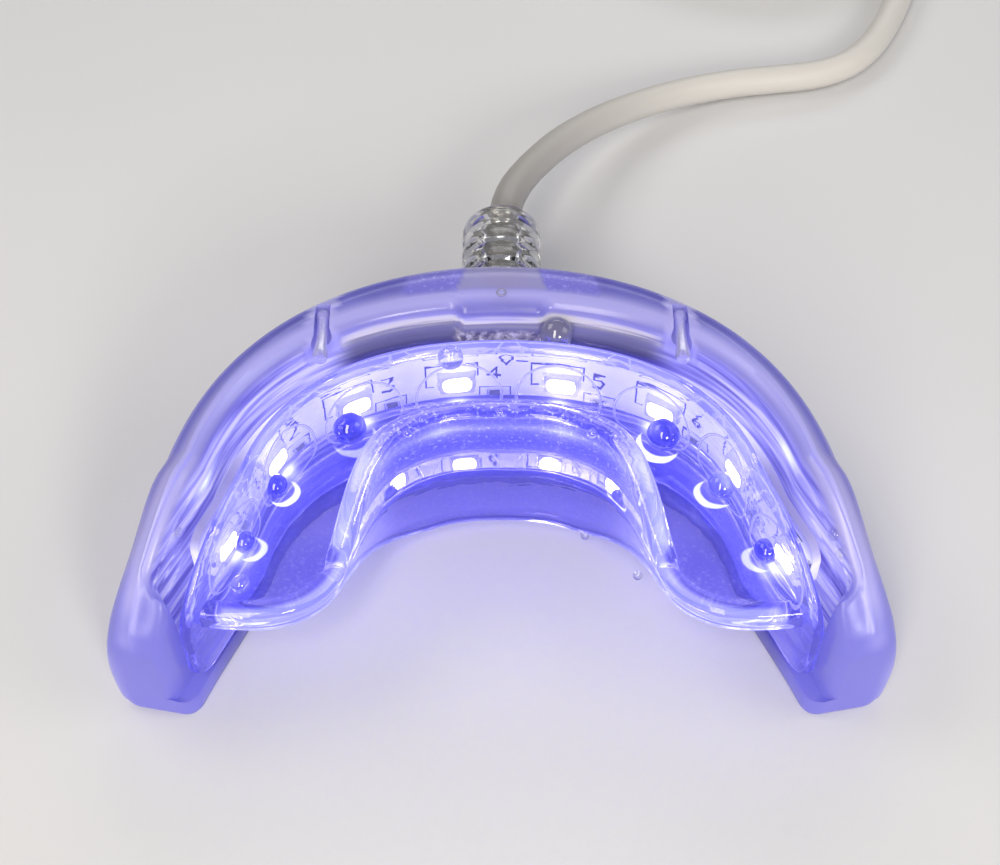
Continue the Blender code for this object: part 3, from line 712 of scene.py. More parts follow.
def vertex_values(obj, **values):
    for name, numbers in values.items():
        data = obj.data.attributes.new(name, "FLOAT", "POINT")
        data.data.foreach_set("value", np.asarray(numbers, np.float32))


def vertex_points(obj):
    co = np.empty(len(obj.data.vertices) * 3, np.float32)
    obj.data.vertices.foreach_get("co", co)
    points = co.reshape(-1, 3) / MM
    points[:, 1] -= SHIFT_Y
    return points


def lamp_glow(points, reach):
    """How near each point lies to a lamp, 0 to 1."""
    total = np.zeros(len(points))
    for s in led_places():
        lamp = np.array(on_arch(s, 0.0, LED_Z))
        total += np.exp(-((np.linalg.norm(points - lamp, axis=1) / reach) ** 2))
    return np.clip(total, 0.0, 1.0)


def arch_coordinates(points):
    """Length along the arch and distance out from it for each point."""
    along = np.linspace(ARCH_PATH.low, ARCH_PATH.high, 721)
    line = np.array([ARCH_PATH.at(s) for s in along])
    tree = KDTree(len(line))
    for i, (x, y) in enumerate(line):
        tree.insert((x, y, 0.0), i)
    tree.balance()
    nearest = np.array([tree.find((x, y, 0.0))[1] for x, y in points[:, :2].tolist()])
    outs = np.array([ARCH_PATH.frame(s)[2] for s in along])[nearest]
    return along[nearest], ((points[:, :2] - line[nearest]) * outs).sum(axis=1)


def half_round(half, height, middle, steps, start=0.0):
    """Points (across, up) on half an ellipse, from one side to the other."""
    turns = [start + math.pi * i / steps for i in range(steps + 1)]
    return [(half * math.cos(t), middle + height * math.sin(t)) for t in turns]


# Front shell


def end_rounded(section, s, thick, front, height):
    """The section drawn in at its sides and foot as it nears the end of a leg."""
    q = SHELL_END - abs(s)
    middle, half = (thick + front) / 2, (thick - front) / 2
    lift = quarter(q, END_ROUND_LOW)
    rounded = []
    for r, z in section:
        amount = quarter(q, END_ROUND_OUT if r > middle else END_ROUND_IN)
        rounded.append((middle + (r - middle) * (1.0 - amount / half), lift + z * (1.0 - lift / height)))
    return rounded


def evenly(profile, count):
    """The profile read at a count of points a like distance apart."""
    path = Path(profile)
    return [tuple(path.at(v)) for v in np.linspace(path.low, path.high, count)]


def shell_section(s):
    """The housing's outline across the arch: outside and top, groove or filled end, foot."""
    thick, front = shell_thickness(s), wall_front(s)
    height = shell_height(SHELL_END - abs(s))
    k = height / SHELL_H
    fill = smooth((abs(s) - GROOVE_SIDE + GROOVE_RUN) / GROOVE_RUN)
    boss = 0.75 * (1.0 - smooth((abs(s) - 3.2) / 1.2))
    edge = (RIM + 0.75 - boss * 0.8) * (1.0 - fill) + 2.9 * fill
    leg = smooth((abs(s) - 34.0) / 7.0)
    crest = thick - 2.6 - 0.4 * leg
    outer = [
        (thick - 1.9, 0.0), (thick - 1.05, 0.25), (thick - 0.55, 0.9), (thick - 0.32, 2.0 * k),
        (thick - 0.08, 5.0 * k), (thick, 9.0 * k), (thick - 0.06 - 0.2 * leg, 13.0 * k),
        (thick - 0.32 - 0.5 * leg, 16.3 * k), (thick - 0.75 - 0.7 * leg, 18.1 * k),
        (thick - 1.5 - 0.6 * leg, 19.2 * k), (crest, 19.8 * k),
        (crest + (edge - crest) * 0.3, 19.95 * k), (crest + (edge - crest) * 0.8, 19.85 * k),
    ]
    outer = [(r, max(z, 0.0)) for r, z in catmull(outer, 4)]
    inner, floor = RIM - boss, SHELL_LIP_H
    grooved = [
        (RIM + 0.75 - boss * 0.8, 19.55 * k), (RIM + 0.3 - boss * 0.95, 19.3 * k),
        (RIM + 0.06 - boss, 18.9 * k), (inner, 18.4 * k), (inner, 17.9 * k),
    ]
    for z in LEDGES:
        grooved += [(inner, (z + 0.1) * k), (inner - 0.05, z * k), (inner - 0.12, (z - 0.08) * k)]
        inner -= LEDGE_STEP
        grooved += [(inner, (z - 0.28) * k), (inner, (z - 0.9) * k)]
    inner = RIM - len(LEDGES) * LEDGE_STEP
    grooved += [(inner, 10.5 * k), (inner, 6.5 * k), (inner, floor + 0.3), (inner - 0.3, floor)]
    grooved += [(0.9, floor), (0.6, floor), (0.35, floor)]
    filled = evenly([(r, z * k) for r, z in FILLED], len(grooved))
    inside = [(a + (c - a) * fill, b + (d - b) * fill) for (a, b), (c, d) in zip(grooved, filled)]
    foot = [
        (0.1, floor), (front + 0.25, floor), (front + 0.07, floor - 0.07), (front, floor - 0.25),
        (front, 0.2), (front + 0.06, 0.06), (front + 0.2, 0.0), (0.0, 0.0), (thick * 0.5, 0.0),
    ]
    return end_rounded(outer + inside + foot, s, thick, front, height)


def shade_shell(shell):
    """Keeps on each vertex how much of every tint, painted highlight, painted reflection and glow it has."""
    points = vertex_points(shell)
    s, r = arch_coordinates(points)
    z, side, far = points[:, 2], np.abs(points[:, 0]), np.abs(s)
    to_end = SHELL_END - far
    up = z / np.array([shell_height(v) for v in to_end])
    across = r / np.array([shell_thickness(v) for v in s])
    top = step(up, 0.82, 0.96)
    back = step(across, 0.62, 0.95)
    groove = (r < RIM + 0.12) * (r > 0.2) * fall(up, 0.915, 0.96)
    groove = groove * fall(far, GROOVE_SIDE - GROOVE_RUN, GROOVE_SIDE)
    # Painted light: a pale band along the top edge of the groove, laid into the pin slots as well
    rim = top * bell(r, RIM + 1.05, 1.0) * (1.0 - 0.6 * step(far, 43.0, 45.0))
    slot = (np.abs(side - PIN_X) < 1.4) * (z > 16.5) * (r > 1.5) * (r < 8.5)
    band = step(r, RIM + 1.5, RIM + 2.1) * top
    wing = 3.5 + 0.6 * np.clip((RIM + 5.2 - r) / 3.0, 0.0, 1.0) ** 2
    tip = 9.2 - 1.3 * np.clip((r - RIM - 2.0) / 4.0, 0.0, 1.0) ** 2
    # Painted glints: two bright spots on the groove's wall
    caught = bell(s, -31.6, 1.9) * bell(z, 16.5, 0.45) + bell(s, 28.9, 1.6) * bell(z, 17.1, 0.45)
    cable_end = fall(side, 4.2, 4.6) * step(z, 15.0, 15.4) * fall(z, 16.8, 17.1) * groove
    # Painted highlight: a soft pale band along the top of each leg; the legs also get a lighter tint and a
    # painted glow
    cream = bell(across, 0.56, 0.16) * step(up, 0.70, 0.90)
    leg = step(far, 37.0, 43.0)
    vertex_values(
        shell, groove=groove * (1.0 - slot), rim=np.maximum(rim, 0.9 * slot),
        outer=back * (1.0 - 0.3 * top), skirt=0.75 * back * fall(up, 0.45, 0.85),
        boss=fall(side, wing - 0.15, wing + 0.15) * band,
        pocket=step(side, wing, wing + 0.3) * fall(side, tip - 0.4, tip + 0.4) * band,
        middle=fall(side, 13.5, 16.5), level=np.clip((z - 14.0) / 5.5, 0.0, 1.0),
        caught=caught * groove, cable_end=0.8 * cable_end, leg=0.9 * leg,
        cream=0.8 * cream * step(to_end, 2.5, 6.0) * fall(to_end, 11.0, 17.0),
        glow=np.maximum(lamp_glow(points, 5.0), 0.3 * leg),
    )
    flow = shell.data.attributes.new("flow", "FLOAT_VECTOR", "POINT")
    flow.data.foreach_set("vector", np.stack([s * 0.07, r, z], axis=1).astype(np.float32).ravel())


def make_shell(mat):
    low, high = ARCH_PATH.low - SHELL_PAST_END, SHELL_END
    near = 8.0 * np.linspace(0.0, 1.0, 30) ** 1.8
    places = stations(
        low, high, near,
        np.linspace(low + 8.4, -10.2, 52), np.linspace(-9.9, 9.9, 67), np.linspace(10.2, high - 8.4, 52),
    )
    rings = [[beyond_arch(s, r, z) for r, z in shell_section(s)] for s in places]
    shell = loft("front_shell_moulding", rings, (mat,), 35.0)
    cutters = [
        solid_rod("c_gland", RELIEF_R + GLAND_GAP, (0, 6.9, EXIT_Z), (0, 16.0, EXIT_Z), 72),
        solid_rod("c_core", CORE_BORE_R, (0, 4.9, EXIT_Z), (0, 7.4, EXIT_Z), 48),
    ]
    tip = PIN_TIP_Y - PIN_SHY
    for x in (-PIN_X, PIN_X):
        ends = (x, PIN_TIP_Y - 5.2, PIN_Z), (x, tip + 0.52, PIN_Z)
        cutters.append(solid_rod("c_pin", PIN_BORE_R, *ends, 32))
        cutters.append(solid_box("c_slot", (1.4, 5.8, 3.0), (x, tip - 2.5, PIN_Z + 1.5)))
    boolean(shell, cutters, "DIFFERENCE", 35.0)
    shade_shell(shell)
    ride(shell, "frosted_shell", "front_shell")


# Mouth tray


def wall_section(s, shrink=0.0):
    to_end = ARCH_PATH.high - WALL_SHORT - abs(s)
    top = shell_height(ARCH_PATH.high - abs(s) + 0.4) * WALL_TOP / SHELL_H
    top -= quarter(to_end, WALL_TIP_TOP) + shrink
    low = WALL_FOOT + quarter(to_end, WALL_TIP_LOW) + shrink
    middle = (WALL_BACK + wall_front(s)) / 2
    half = (WALL_BACK - wall_front(s)) / 2 - shrink
    levels = [low + 0.4 + (top - 1.3 - low) * (i + 1) / WALL_LEVELS for i in range(WALL_LEVELS - 1)]
    section = [(half, z) for z in levels] + half_round(half, 0.9, top - 0.9, 8)
    section += [(-half, z) for z in levels[::-1]] + half_round(half, 0.4, low + 0.4, 6, math.pi)
    return [on_arch(s, middle + r, z) for r, z in section]


def rise(s, flat, run):
    return 1.0 - smooth((abs(s) - flat) / run)


def lingual_heights(s):
    up = rise(s, 10.0, 12.5)
    down = rise(s, 7.0, 16.0)
    top = PLATE_TOP + 0.1 + (LINGUAL_TOP - PLATE_TOP) * up
    return top, PLATE_LOW - 0.1 - (PLATE_LOW - LINGUAL_FOOT) * down


def lingual_section(s):
    here, _, out = LINGUAL_PATH.frame(s)
    top, low = lingual_heights(s)
    half = LINGUAL_T / 2 + 0.1 * rise(s, 10.0, 12.5)
    levels = np.linspace(low + 0.9, top - 0.9, RIDGE_LEVELS)[1:-1]
    section = half_round(half, 0.9, top - 0.9, 8) + [(-half, z) for z in levels[::-1]]
    section += half_round(half, 0.9, low + 0.9, 8, math.pi) + [(half, z) for z in levels]
    return [(here[0] + out[0] * r, here[1] + out[1] * r, z) for r, z in section]


def plate_ring(s, t):
    """The plate across from wall to ridge, spreading into both with a round."""
    a = np.array(on_arch(s, (wall_front(s) + WALL_BACK) / 2, 0.0)[:2])
    b = LINGUAL_PATH.at(t)
    width = np.linalg.norm(b - a)
    start = min((WALL_BACK - wall_front(s)) / 2, width * 0.3)
    stop = max(width - LINGUAL_T / 2, width * 0.7)
    reach = min(FILLET, (stop - start) / 2)
    span = stop - start - 2 * reach
    turns = [math.pi / 2 * k / (FILLET_STEPS - 1) for k in range(FILLET_STEPS)]
    rounds = [(reach * (1.0 - math.cos(v)), reach * (1.0 - math.sin(v))) for v in turns]
    across = [(0.0, reach, 0.0)] + [(start + d, w, 0.0) for d, w in rounds]
    across += [(start + reach + span * k / PLATE_SPANS, 0.0, 0.0) for k in range(1, PLATE_SPANS)]
    across += [(stop - d, 0.0, w) for d, w in rounds[::-1]] + [(width, 0.0, reach)]
    ridge_top, ridge_low = lingual_heights(t)
    over = min(1.0, max(0.0, ridge_top - PLATE_TOP - 0.9) / FILLET)
    under = min(1.0, max(0.0, PLATE_LOW - ridge_low - 0.9) / FILLET)
    upper, lower = [], []
    for d, w, v in across:
        x, y = a + (b - a) * d / width
        upper.append((x, y, PLATE_TOP + w + v * over))
        lower.append((x, y, PLATE_LOW - w - v * under))
    return upper + lower[::-1]


def make_plate():
    outer = np.linspace(-PLATE_SIDE, PLATE_SIDE, 161)
    inner = np.linspace(LINGUAL_PATH.low + 1.2, LINGUAL_PATH.high - 1.2, 161)
    return loft("plate_form", [plate_ring(s, t) for s, t in zip(outer, inner)])


def shade_tray(tray):
    """Keeps on each vertex how much of every tint, painted shade, painted glint and glow it has."""
    points = vertex_points(tray)
    s, r = arch_coordinates(points)
    x, y, z, far = np.abs(points[:, 0]), points[:, 1], points[:, 2], np.abs(s)
    frames = [LINGUAL_PATH.frame(v) for v in np.linspace(LINGUAL_PATH.low, LINGUAL_PATH.high, 200)]
    line, outs = np.array([f[0] for f in frames]), np.array([f[2] for f in frames])
    apart = np.linalg.norm(points[:, None, :2] - line[None], axis=2)
    near, nearest = apart.min(axis=1), apart.argmin(axis=1)
    offset = ((points[:, :2] - line[nearest]) * outs[nearest]).sum(axis=1)
    outside = np.maximum(fall(offset, -0.6, 0.0), step(z, 11.6, 12.4))
    ridge = np.clip(1.0 - near / 2.4, 0.0, 1.0) * outside * fall(r, -3.4, -2.4)
    on_ridge = fall(near, 1.3, 1.9) * outside
    side = step(x, 9.0, 14.5)
    front = on_ridge * (1.0 - side)
    # Painted highlights: glint spots on the fillet below each lamp and two on the ridge's front
    caught = sum(bell(s, lamp, 1.0) for lamp in led_places()) * bell(z, 11.6, 0.3) * step(r, -3.3, -2.7)
    caught += 0.3 * bell(x, 5.6, 1.4) * bell(z, 16.9, 0.8) * on_ridge * (y < -6.2)
    # Painted light: glow along the ridge and the wall's crest, and pale bands on the ridge's front, all as
    # emission
    crest = 0.35 * step(z, 16.9, 17.9) * step(r, -3.0, -2.2) * fall(far, 34.0, 40.0)
    pale = 0.45 * bell(z, 16.7, 0.7) + 0.20 * bell(z, 13.6, 0.6)
    lit = ridge * (0.10 + 0.95 * side) + crest + 0.3 * lamp_glow(points, 4.5) + pale * front
    # Painted shade: the front wings, dark bands on the ridge's front and the ends of the wall get a darker
    # tint
    wing = (1.0 - on_ridge) * step(x, 12.0, 16.0) * fall(y, -18.0, -13.0) * fall(r, -3.4, -2.6)
    dark = bell(z, 18.2, 0.45) + 0.85 * bell(z, 15.1, 0.7)
    mottle = front * np.clip(dark, 0.25, 1.0) * step(z, 12.0, 14.0)
    vertex_values(
        tray, glow=np.clip(lit, 0.0, 1.0), mottle=mottle,
        wall=step(r, -3.0, -2.2) * step(z, 11.6, 12.4) * fall(far, 40.0, 44.0),
        deep=np.maximum(np.maximum(mottle, 0.8 * wing), 0.7 * step(far, 40.5, 42.5)),
        caught=np.clip(caught, 0.0, 1.0),
    )


def make_tray(mat):
    low, high = ARCH_PATH.low + WALL_SHORT, ARCH_PATH.high - WALL_SHORT
    near = WALL_END_ROUND * (1.0 - np.cos(np.linspace(0.12, math.pi / 2, 8)))
    places = stations(low, high, near, np.linspace(low + 0.9, high - 0.9, 170))
    rings = [wall_section(s, 0.96 * quarter(min(s - low, high - s), WALL_END_ROUND)) for s in places]
    tray = loft("mouth_tray_moulding", rings, (mat,))
    along = np.linspace(LINGUAL_PATH.low, LINGUAL_PATH.high, 190)
    ridge = loft("ridge_form", [lingual_section(s) for s in along])
    boolean(tray, [ridge, make_plate()], "UNION", 50.0)
    shade_tray(tray)
    ride(tray, "clear_tray", "mouth_tray")


# Cord, plug and tie


def coil_points(per_turn):
    """The coil: in along the table, over half a turn up to the second layer, and out again."""
    turns = COIL_TURNS_IN + 0.5 + COIL_TURNS_OUT
    count = int(round(turns * per_turn))
    inner_r = COIL_START_R - COIL_STEP * COIL_TURNS_IN
    points = []
    for i in range(count + 1):
        t = turns * i / count
        past = t - COIL_TURNS_IN
        if past <= 0.0:
            radius, layer = COIL_START_R - COIL_STEP * t, 0.0
        elif past <= 0.5:
            u = past / 0.5
            radius, layer = inner_r - COIL_STEP * 0.5 * u * (1.0 - u), smooth(u)
        else:
            radius, layer = inner_r + COIL_STEP * (past - 0.5), 1.0
        angle = 2.0 * math.pi * t
        points.append((
            COIL_CENTRE[0] + radius * math.cos(angle), COIL_CENTRE[1] + radius * math.sin(angle),
            COIL_LOW_Z + COIL_LAYER * layer,
        ))
    return np.array(points)


def length_of(points):
    return float(np.linalg.norm(np.diff(np.array(points), axis=0), axis=1).sum())


def resample(points, step):
    path = Path(points)
    count = max(2, int(round(path.high / step)) + 1)
    return np.array([path.at(s) for s in np.linspace(0.0, path.high, count)])


def cord_route():
    """The whole cord: free stretch, coil and tail, with the plug's place and direction."""
    coarse = coil_points(24)
    ahead = coarse[-1] - coarse[-2]
    ahead[2] = 0.0
    ahead /= np.linalg.norm(ahead)
    before = coarse[0] - coarse[1]
    before /= np.linalg.norm(before)
    last_two = [tuple(coarse[0] + before * (JOINT_GAP + run)) for run in (CORD_D, 0.0)]
    free = catmull(list(ROUTE) + last_two, 10)
    tail_length = CORD_LENGTH - length_of(free) - JOINT_GAP - length_of(coarse)
    last = coarse[-1]
    end = last + ahead * tail_length
    end[2] = PLUG_Z
    knots = [
        last,
        last + ahead * tail_length * 0.25 + np.array([0.0, 0.0, -0.45]),
        last + ahead * tail_length * 0.6 + np.array([0.0, 0.0, -2.2]),
        end - ahead * CORD_D * 1.6,
        end,
    ]
    knots[3][2] = PLUG_Z
    tail = catmull(knots, 8)
    fine = coil_points(48)
    whole = np.vstack([free[:-1], fine, tail[1:]])
    return resample(whole, 1.9), end, ahead


def make_cord(mats):
    points, end, ahead = cord_route()
    cord = tube("power_cord", points, CORD_D, mats["cord"], 6)
    ride(cord, "cord_white", "cord", "cord_coil")
    return end, ahead


def rounded_ring(width, height, radius, steps=6):
    """A rounded rectangle in its own plane, (across, up) from its middle."""
    radius = min(radius, width / 2 - 1e-3, height / 2 - 1e-3)
    x, z = width / 2 - radius, height / 2 - radius
    ring = []
    for k, (cx, cz) in enumerate(((x, z), (-x, z), (-x, -z), (x, -z))):
        for i in range(steps):
            turn = math.radians(90.0 * k + 90.0 * i / (steps - 1))
            ring.append((cx + radius * math.cos(turn), cz + radius * math.sin(turn)))
    return ring


def make_plug(end, ahead, mats):
    aside = np.array([-ahead[1], ahead[0], 0.0])
    turn = math.atan2(ahead[1], ahead[0])
    length, width, height = OVERMOULD
    body = JOINT_GAP + PLUG_NECK
    front = body + length

    def put(along, across, up):
        p = end + ahead * along + aside * across
        return (p[0], p[1], PLUG_Z + up)

    def lofted(name, sections, mat, smooth_deg=40.0):
        rings = [[put(along, *p) for p in rounded_ring(w, h, r)] for along, w, h, r in sections]
        return loft(name, rings, (mat,), smooth_deg)

    def neck(along, across=NECK_D):
        return (along, across, across, across / 2)

    def grip(along, less=0.0, corner=2.4):
        return (along, width - less, height - less, corner)

    sections = [neck(JOINT_GAP, 5.2), neck(JOINT_GAP + 0.3)]
    for i in range(3):
        at = JOINT_GAP + 0.9 + i * NECK_RIB_PITCH
        sections += [neck(at), neck(at + 0.15, NECK_WAIST_D), neck(at + 0.6, NECK_WAIST_D), neck(at + 0.75)]
    sections += [neck(body - 0.1), (body + 0.05, 9.0, 6.4, 2.9)]
    for i in range(7):
        t = math.pi / 2 * i / 6
        along, grow = body + 0.05 + 1.9 * (1 - math.cos(t)), math.sin(t)
        sections.append((along, 9.0 + (width - 9.0) * grow, 6.4 + (height - 6.4) * grow, 2.6))
    for i in range(5):
        at, deep = body + 5.0 + i * GRIP_RIB_PITCH, GRIP_RIB_DEEP
        sections += [grip(at), grip(at + 0.12, deep, 2.2), grip(at + 0.55, deep, 2.2), grip(at + 0.67)]
    sections += [grip(front - 1.0), grip(front - 0.35, 0.25, 2.3), grip(front, 1.1, 2.0)]
    overmould = lofted("plug_grip", sections, mats["cord"], 50.0)
    long, wide, tall = USB_SHELL
    mouth = solid_box("c_mouth", (6.0, wide + 0.5, tall + 0.5), put(front, 0.0, 0.0), turn)
    boolean(overmould, [mouth], "DIFFERENCE", 50.0)
    ride(overmould, "cord_white", "plug_overmould")

    root, tip = front - USB_ROOT, front + long
    outer = [(root, wide, tall, 0.6), (tip - 0.15, wide, tall, 0.6), (tip, wide - 0.2, tall - 0.2, 0.55)]
    steel = lofted("plug_shell", outer, mats["steel"], 30.0)
    wide, tall = wide - 2 * USB_WALL, tall - 2 * USB_WALL
    hollow = [(root + 0.8, wide, tall, 0.4), (tip + 1.0, wide, tall, 0.4)]
    cutters = [lofted("c_hollow", hollow, mats["steel"])]
    for across in (-USB_WINDOW_ACROSS, USB_WINDOW_ACROSS):
        cutters.append(solid_box("c_window", USB_WINDOW, put(root + 8.2, across, 2.2), turn))
    boolean(steel, cutters, "DIFFERENCE", 30.0)
    ride(steel, "plug_steel", "usb_shell")
    carried = [overmould, steel] + [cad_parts[n] for n in ("coil_tie", "usb_tongue")]
    carried += [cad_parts[f"usb_contact_{i}"] for i in range(1, 5)]


# Strip, lamps and small parts


def make_strip(mats):
    low, high = BOARD_LEFT + BOARD_SHORT, BOARD_RIGHT - BOARD_SHORT
    near = BOARD_CORNER * (1.0 - np.cos(np.linspace(0.05, math.pi / 2, 9)))
    soft, front, back = BOARD_SOFT, BOARD_FRONT, BOARD_BACK
    rings = []
    for s in stations(low, high, near, np.linspace(low + 1.6, high - 1.6, 165)):
        left = max(0.0, BOARD_CORNER - min(s - low, high - s))
        cut = BOARD_CORNER - math.sqrt(max(BOARD_CORNER**2 - left**2, 0.0))
        bottom, top = BOARD_LOW + cut, BOARD_TOP - cut
        section = [
            (front, bottom + soft), (front + soft, bottom), (back - soft, bottom), (back, bottom + soft),
            (back, top - soft), (back - soft, top), (front + soft, top), (front, top - soft),
            (front, (top + LED_Z) / 2), (front, LED_Z),
        ]
        rings.append([on_arch(s, r, z) for r, z in section])
    strip = loft("led_strip", rings, (mats["board"],), 30.0)
    points = vertex_points(strip)
    s, _ = arch_coordinates(points)
    # Painted shade on the strip's upper part towards the legs
    bare = step(np.abs(s), 22.0, 30.0) * step(points[:, 2], 12.6, 14.6)
    vertex_values(strip, glow=lamp_glow(points, 2.6), bare=bare)
    ride(strip, "strip_white", "led_board")


def stroke(bm, width, *places):
    """Thin printed lines on the strip's front, from each place (s, z) to the next."""
    for a, b in zip(places, places[1:]):
        a, b = np.array(a, float), np.array(b, float)
        run = np.linalg.norm(b - a)
        along = (b - a) / run
        side = np.array([-along[1], along[0]]) * width / 2
        over = width / 2 / run
        corners = ((side, PRINT_FRONT), (-side, PRINT_FRONT), (-side, PRINT_BACK), (side, PRINT_BACK))
        rows = []
        for t in np.linspace(-over, 1 + over, max(2, int(run / 0.6) + 2)):
            p = a + (b - a) * t
            rows.append([bm.verts.new(m(on_arch(p[0] + d[0], r, p[1] + d[1]))) for d, r in corners])
        skin(bm, rows)


def make_print(mat):
    """Outlines of the lamps and resistors, and plain numbers beside the lamps."""
    bm = bmesh.new()
    low, high = LED_Z - 0.95, LED_Z + 1.8
    foot, head = RESISTOR_Z - 0.75, RESISTOR_Z + 0.75
    for i, s in enumerate(led_places()):
        left, right = s - 2.95, s + 2.05
        if i > 0:
            stroke(bm, 0.15, (left, low), (left, high))
            stroke(bm, 0.12, (left, low), (left + 0.7, low))
            stroke(bm, 0.12, (left, high), (s, high))
        if i < LED_COUNT - 1:
            stroke(bm, 0.12, (s, high), (right, high))
            stroke(bm, 0.15, (right, high), (right, high - 1.5))
            one, two = s + RESISTOR_STEP - 1.5, s + RESISTOR_STEP + 1.5
            stroke(bm, 0.13, (one, foot), (one, head))
            stroke(bm, 0.13, (two, foot), (two, head))
            stroke(bm, 0.1, (one, head), (two, head))
            stroke(bm, 0.2, *[(s + 3.0 + a * DIGIT_SIZE, 12.0 + b * DIGIT_SIZE) for a, b in DIGITS[i]])
    stroke(bm, 0.17, (LED_MIDDLE - 0.9, 14.6), (LED_MIDDLE - 0.3, 14.0), (LED_MIDDLE + 0.3, 14.6))
    stroke(bm, 0.14, (LED_MIDDLE + 0.7, 14.35), (LED_MIDDLE + 1.7, 14.35))
    ride(link("strip_print", mesh_from(bm, "strip_print"), (mat,), 0), "chip_dark")


def chip_frame(s, z, front):
    """Turns (along, depth, up) at a place on the strip into points of the drawing."""
    here, ahead, out = ARCH_PATH.frame(s)

    def put(along, depth, up):
        p = here + ahead * along + out * (front + depth)
        return (p[0], p[1], z + up)

    return put


def material_rings(name, sections, put, mats, breaks):
    """A loft whose rings from each break on take the next material."""
    rings = [[put(a, depth, b) for a, b in rounded_ring(w, h, r)] for depth, w, h, r in sections]
    obj = loft(name, rings, mats, 35.0)
    polygons = obj.data.polygons
    for index, polygon in enumerate(polygons):
        ring = min(index // len(rings[0]), len(rings) - 1)
        polygon.material_index = sum(ring >= b for b in breaks)
    polygons[-2].material_index = 0
    polygons[-1].material_index = len(breaks)
    return obj


def make_leds(mats):
    sections = [
        (0.72, 3.3, 2.3, 0.2), (0.66, 3.4, 2.4, 0.22), (0.08, 3.4, 2.4, 0.22), (0.0, 3.28, 2.28, 0.25),
        (0.0, 2.92, 1.98, 0.7), (0.04, 2.82, 1.9, 0.72), (0.14, 2.7, 1.82, 0.74),
        (0.12, 2.2, 1.45, 0.6), (0.10, 1.4, 0.9, 0.4), (0.095, 0.5, 0.3, 0.14),
    ]
    for i, s in enumerate(led_places()):
        put = chip_frame(s, LED_Z, 0.0)
        package = material_rings(f"led_{i + 1}_package", sections, put, (mats["led_body"], mats["led"]), (5,))
        ride(package, "led_lit", f"led_{i + 1}")
        bm = bmesh.new()
        for side in (-1.0, 1.0):
            for up in (-0.6, 0.6):
                rows = []
                for depth, tip in ((0.45, 1.8), (0.9, 1.95)):
                    corners = ((1.45, -0.4), (tip, -0.4), (tip, 0.4), (1.45, 0.4))
                    rows.append([bm.verts.new(m(put(side * a, depth, up + b))) for a, b in corners])
                skin(bm, rows)
        ride(link(f"led_{i + 1}_leads", mesh_from(bm, "leads"), (mats["solder"],), 0), "solder")


def make_resistors(mats):
    for i, s in enumerate(led_places()):
        put = chip_frame(s + RESISTOR_STEP, RESISTOR_Z, 0.35)
        bm = bmesh.new()
        for low, high, grow, index in ((-0.52, 0.52, -0.04, 0), (-0.8, -0.5, 0.0, 1), (0.5, 0.8, 0.0, 1)):
            half = ((high - low) / 2, (0.45 + grow) / 2, (0.85 + grow) / 2)
            middle = ((high + low) / 2, 0.225, 0.0)
            made = bmesh.ops.create_cube(bm, size=2.0)["verts"]
            for v in made:
                v.co = Vector([c * k + o for c, k, o in zip(v.co, half, middle)])
            for face in {f for v in made for f in v.link_faces}:
                face.material_index = index
        bmesh.ops.bevel(bm, geom=bm.edges[:], offset=0.05, segments=2, profile=0.5, affect="EDGES")
        for v in bm.verts:
            v.co = m(put(*v.co))
        chip = link(f"resistor_{i + 1}_chip", mesh_from(bm, "resistor"), (mats["chip"], mats["solder"]))
        ride(chip, "chip_dark", f"resistor_{i + 1}")


def make_wires(mats):
    behind = ((1.15, 2.75, EXIT_Z + 0.5), (1.95, 2.3, EXIT_Z + 1.1), (2.85, 2.22, EXIT_Z + 1.5))
    for sign, name, colour in ((-1.0, "positive", "red"), (1.0, "negative", "black")):
        route = [(sign * 0.75, 7.35, EXIT_Z), (sign * 0.8, 6.7, EXIT_Z + 0.1)]
        route += [on_arch(sign * s, r, z) for s, r, z in behind]
        wire = tube(f"wire_{name}_lead", catmull(route, 10), WIRE_D, mats[colour], 5)
        ride(wire, "wire_" + colour, "wire_" + name)


def revolved(name, profile, start, along, steps, mat, smooth_deg=40.0):
    """A profile of (radius, distance) turned about a line."""
    turn = Vector(along).normalized().to_track_quat("Z", "Y").to_matrix()
    rounds = [(math.cos(v), math.sin(v)) for v in (2 * math.pi * i / steps for i in range(steps))]
    rings = [[Vector(start) + turn @ Vector((r * c, r * s, d)) for c, s in rounds] for r, d in profile]
    return loft(name, rings, (mat,), smooth_deg)


def make_pins(mat):
    tip = PIN_TIP_Y - PIN_SHY
    profile = [(0.4, -0.55), (0.62, -0.45), (0.7, -0.15), (0.68, 0.35), (0.6, 1.0), (0.54, 1.7)]
    profile += [(0.54, tip - 1.7), (0.58, tip - 1.3)]
    for i in range(1, 15):
        turn = math.pi * (0.76 - 0.74 * i / 14)
        profile.append((PIN_HEAD_R * math.sin(turn), tip - 0.5 - PIN_HEAD_R * math.cos(turn)))
    for side, x in (("left", -PIN_X), ("right", PIN_X)):
        pin = revolved(f"locating_pin_{side}_stub", profile, (x, 0.0, PIN_Z), (0, 1, 0), 32, mat)
        ride(pin, "clear_tray", f"locating_pin_{side}")


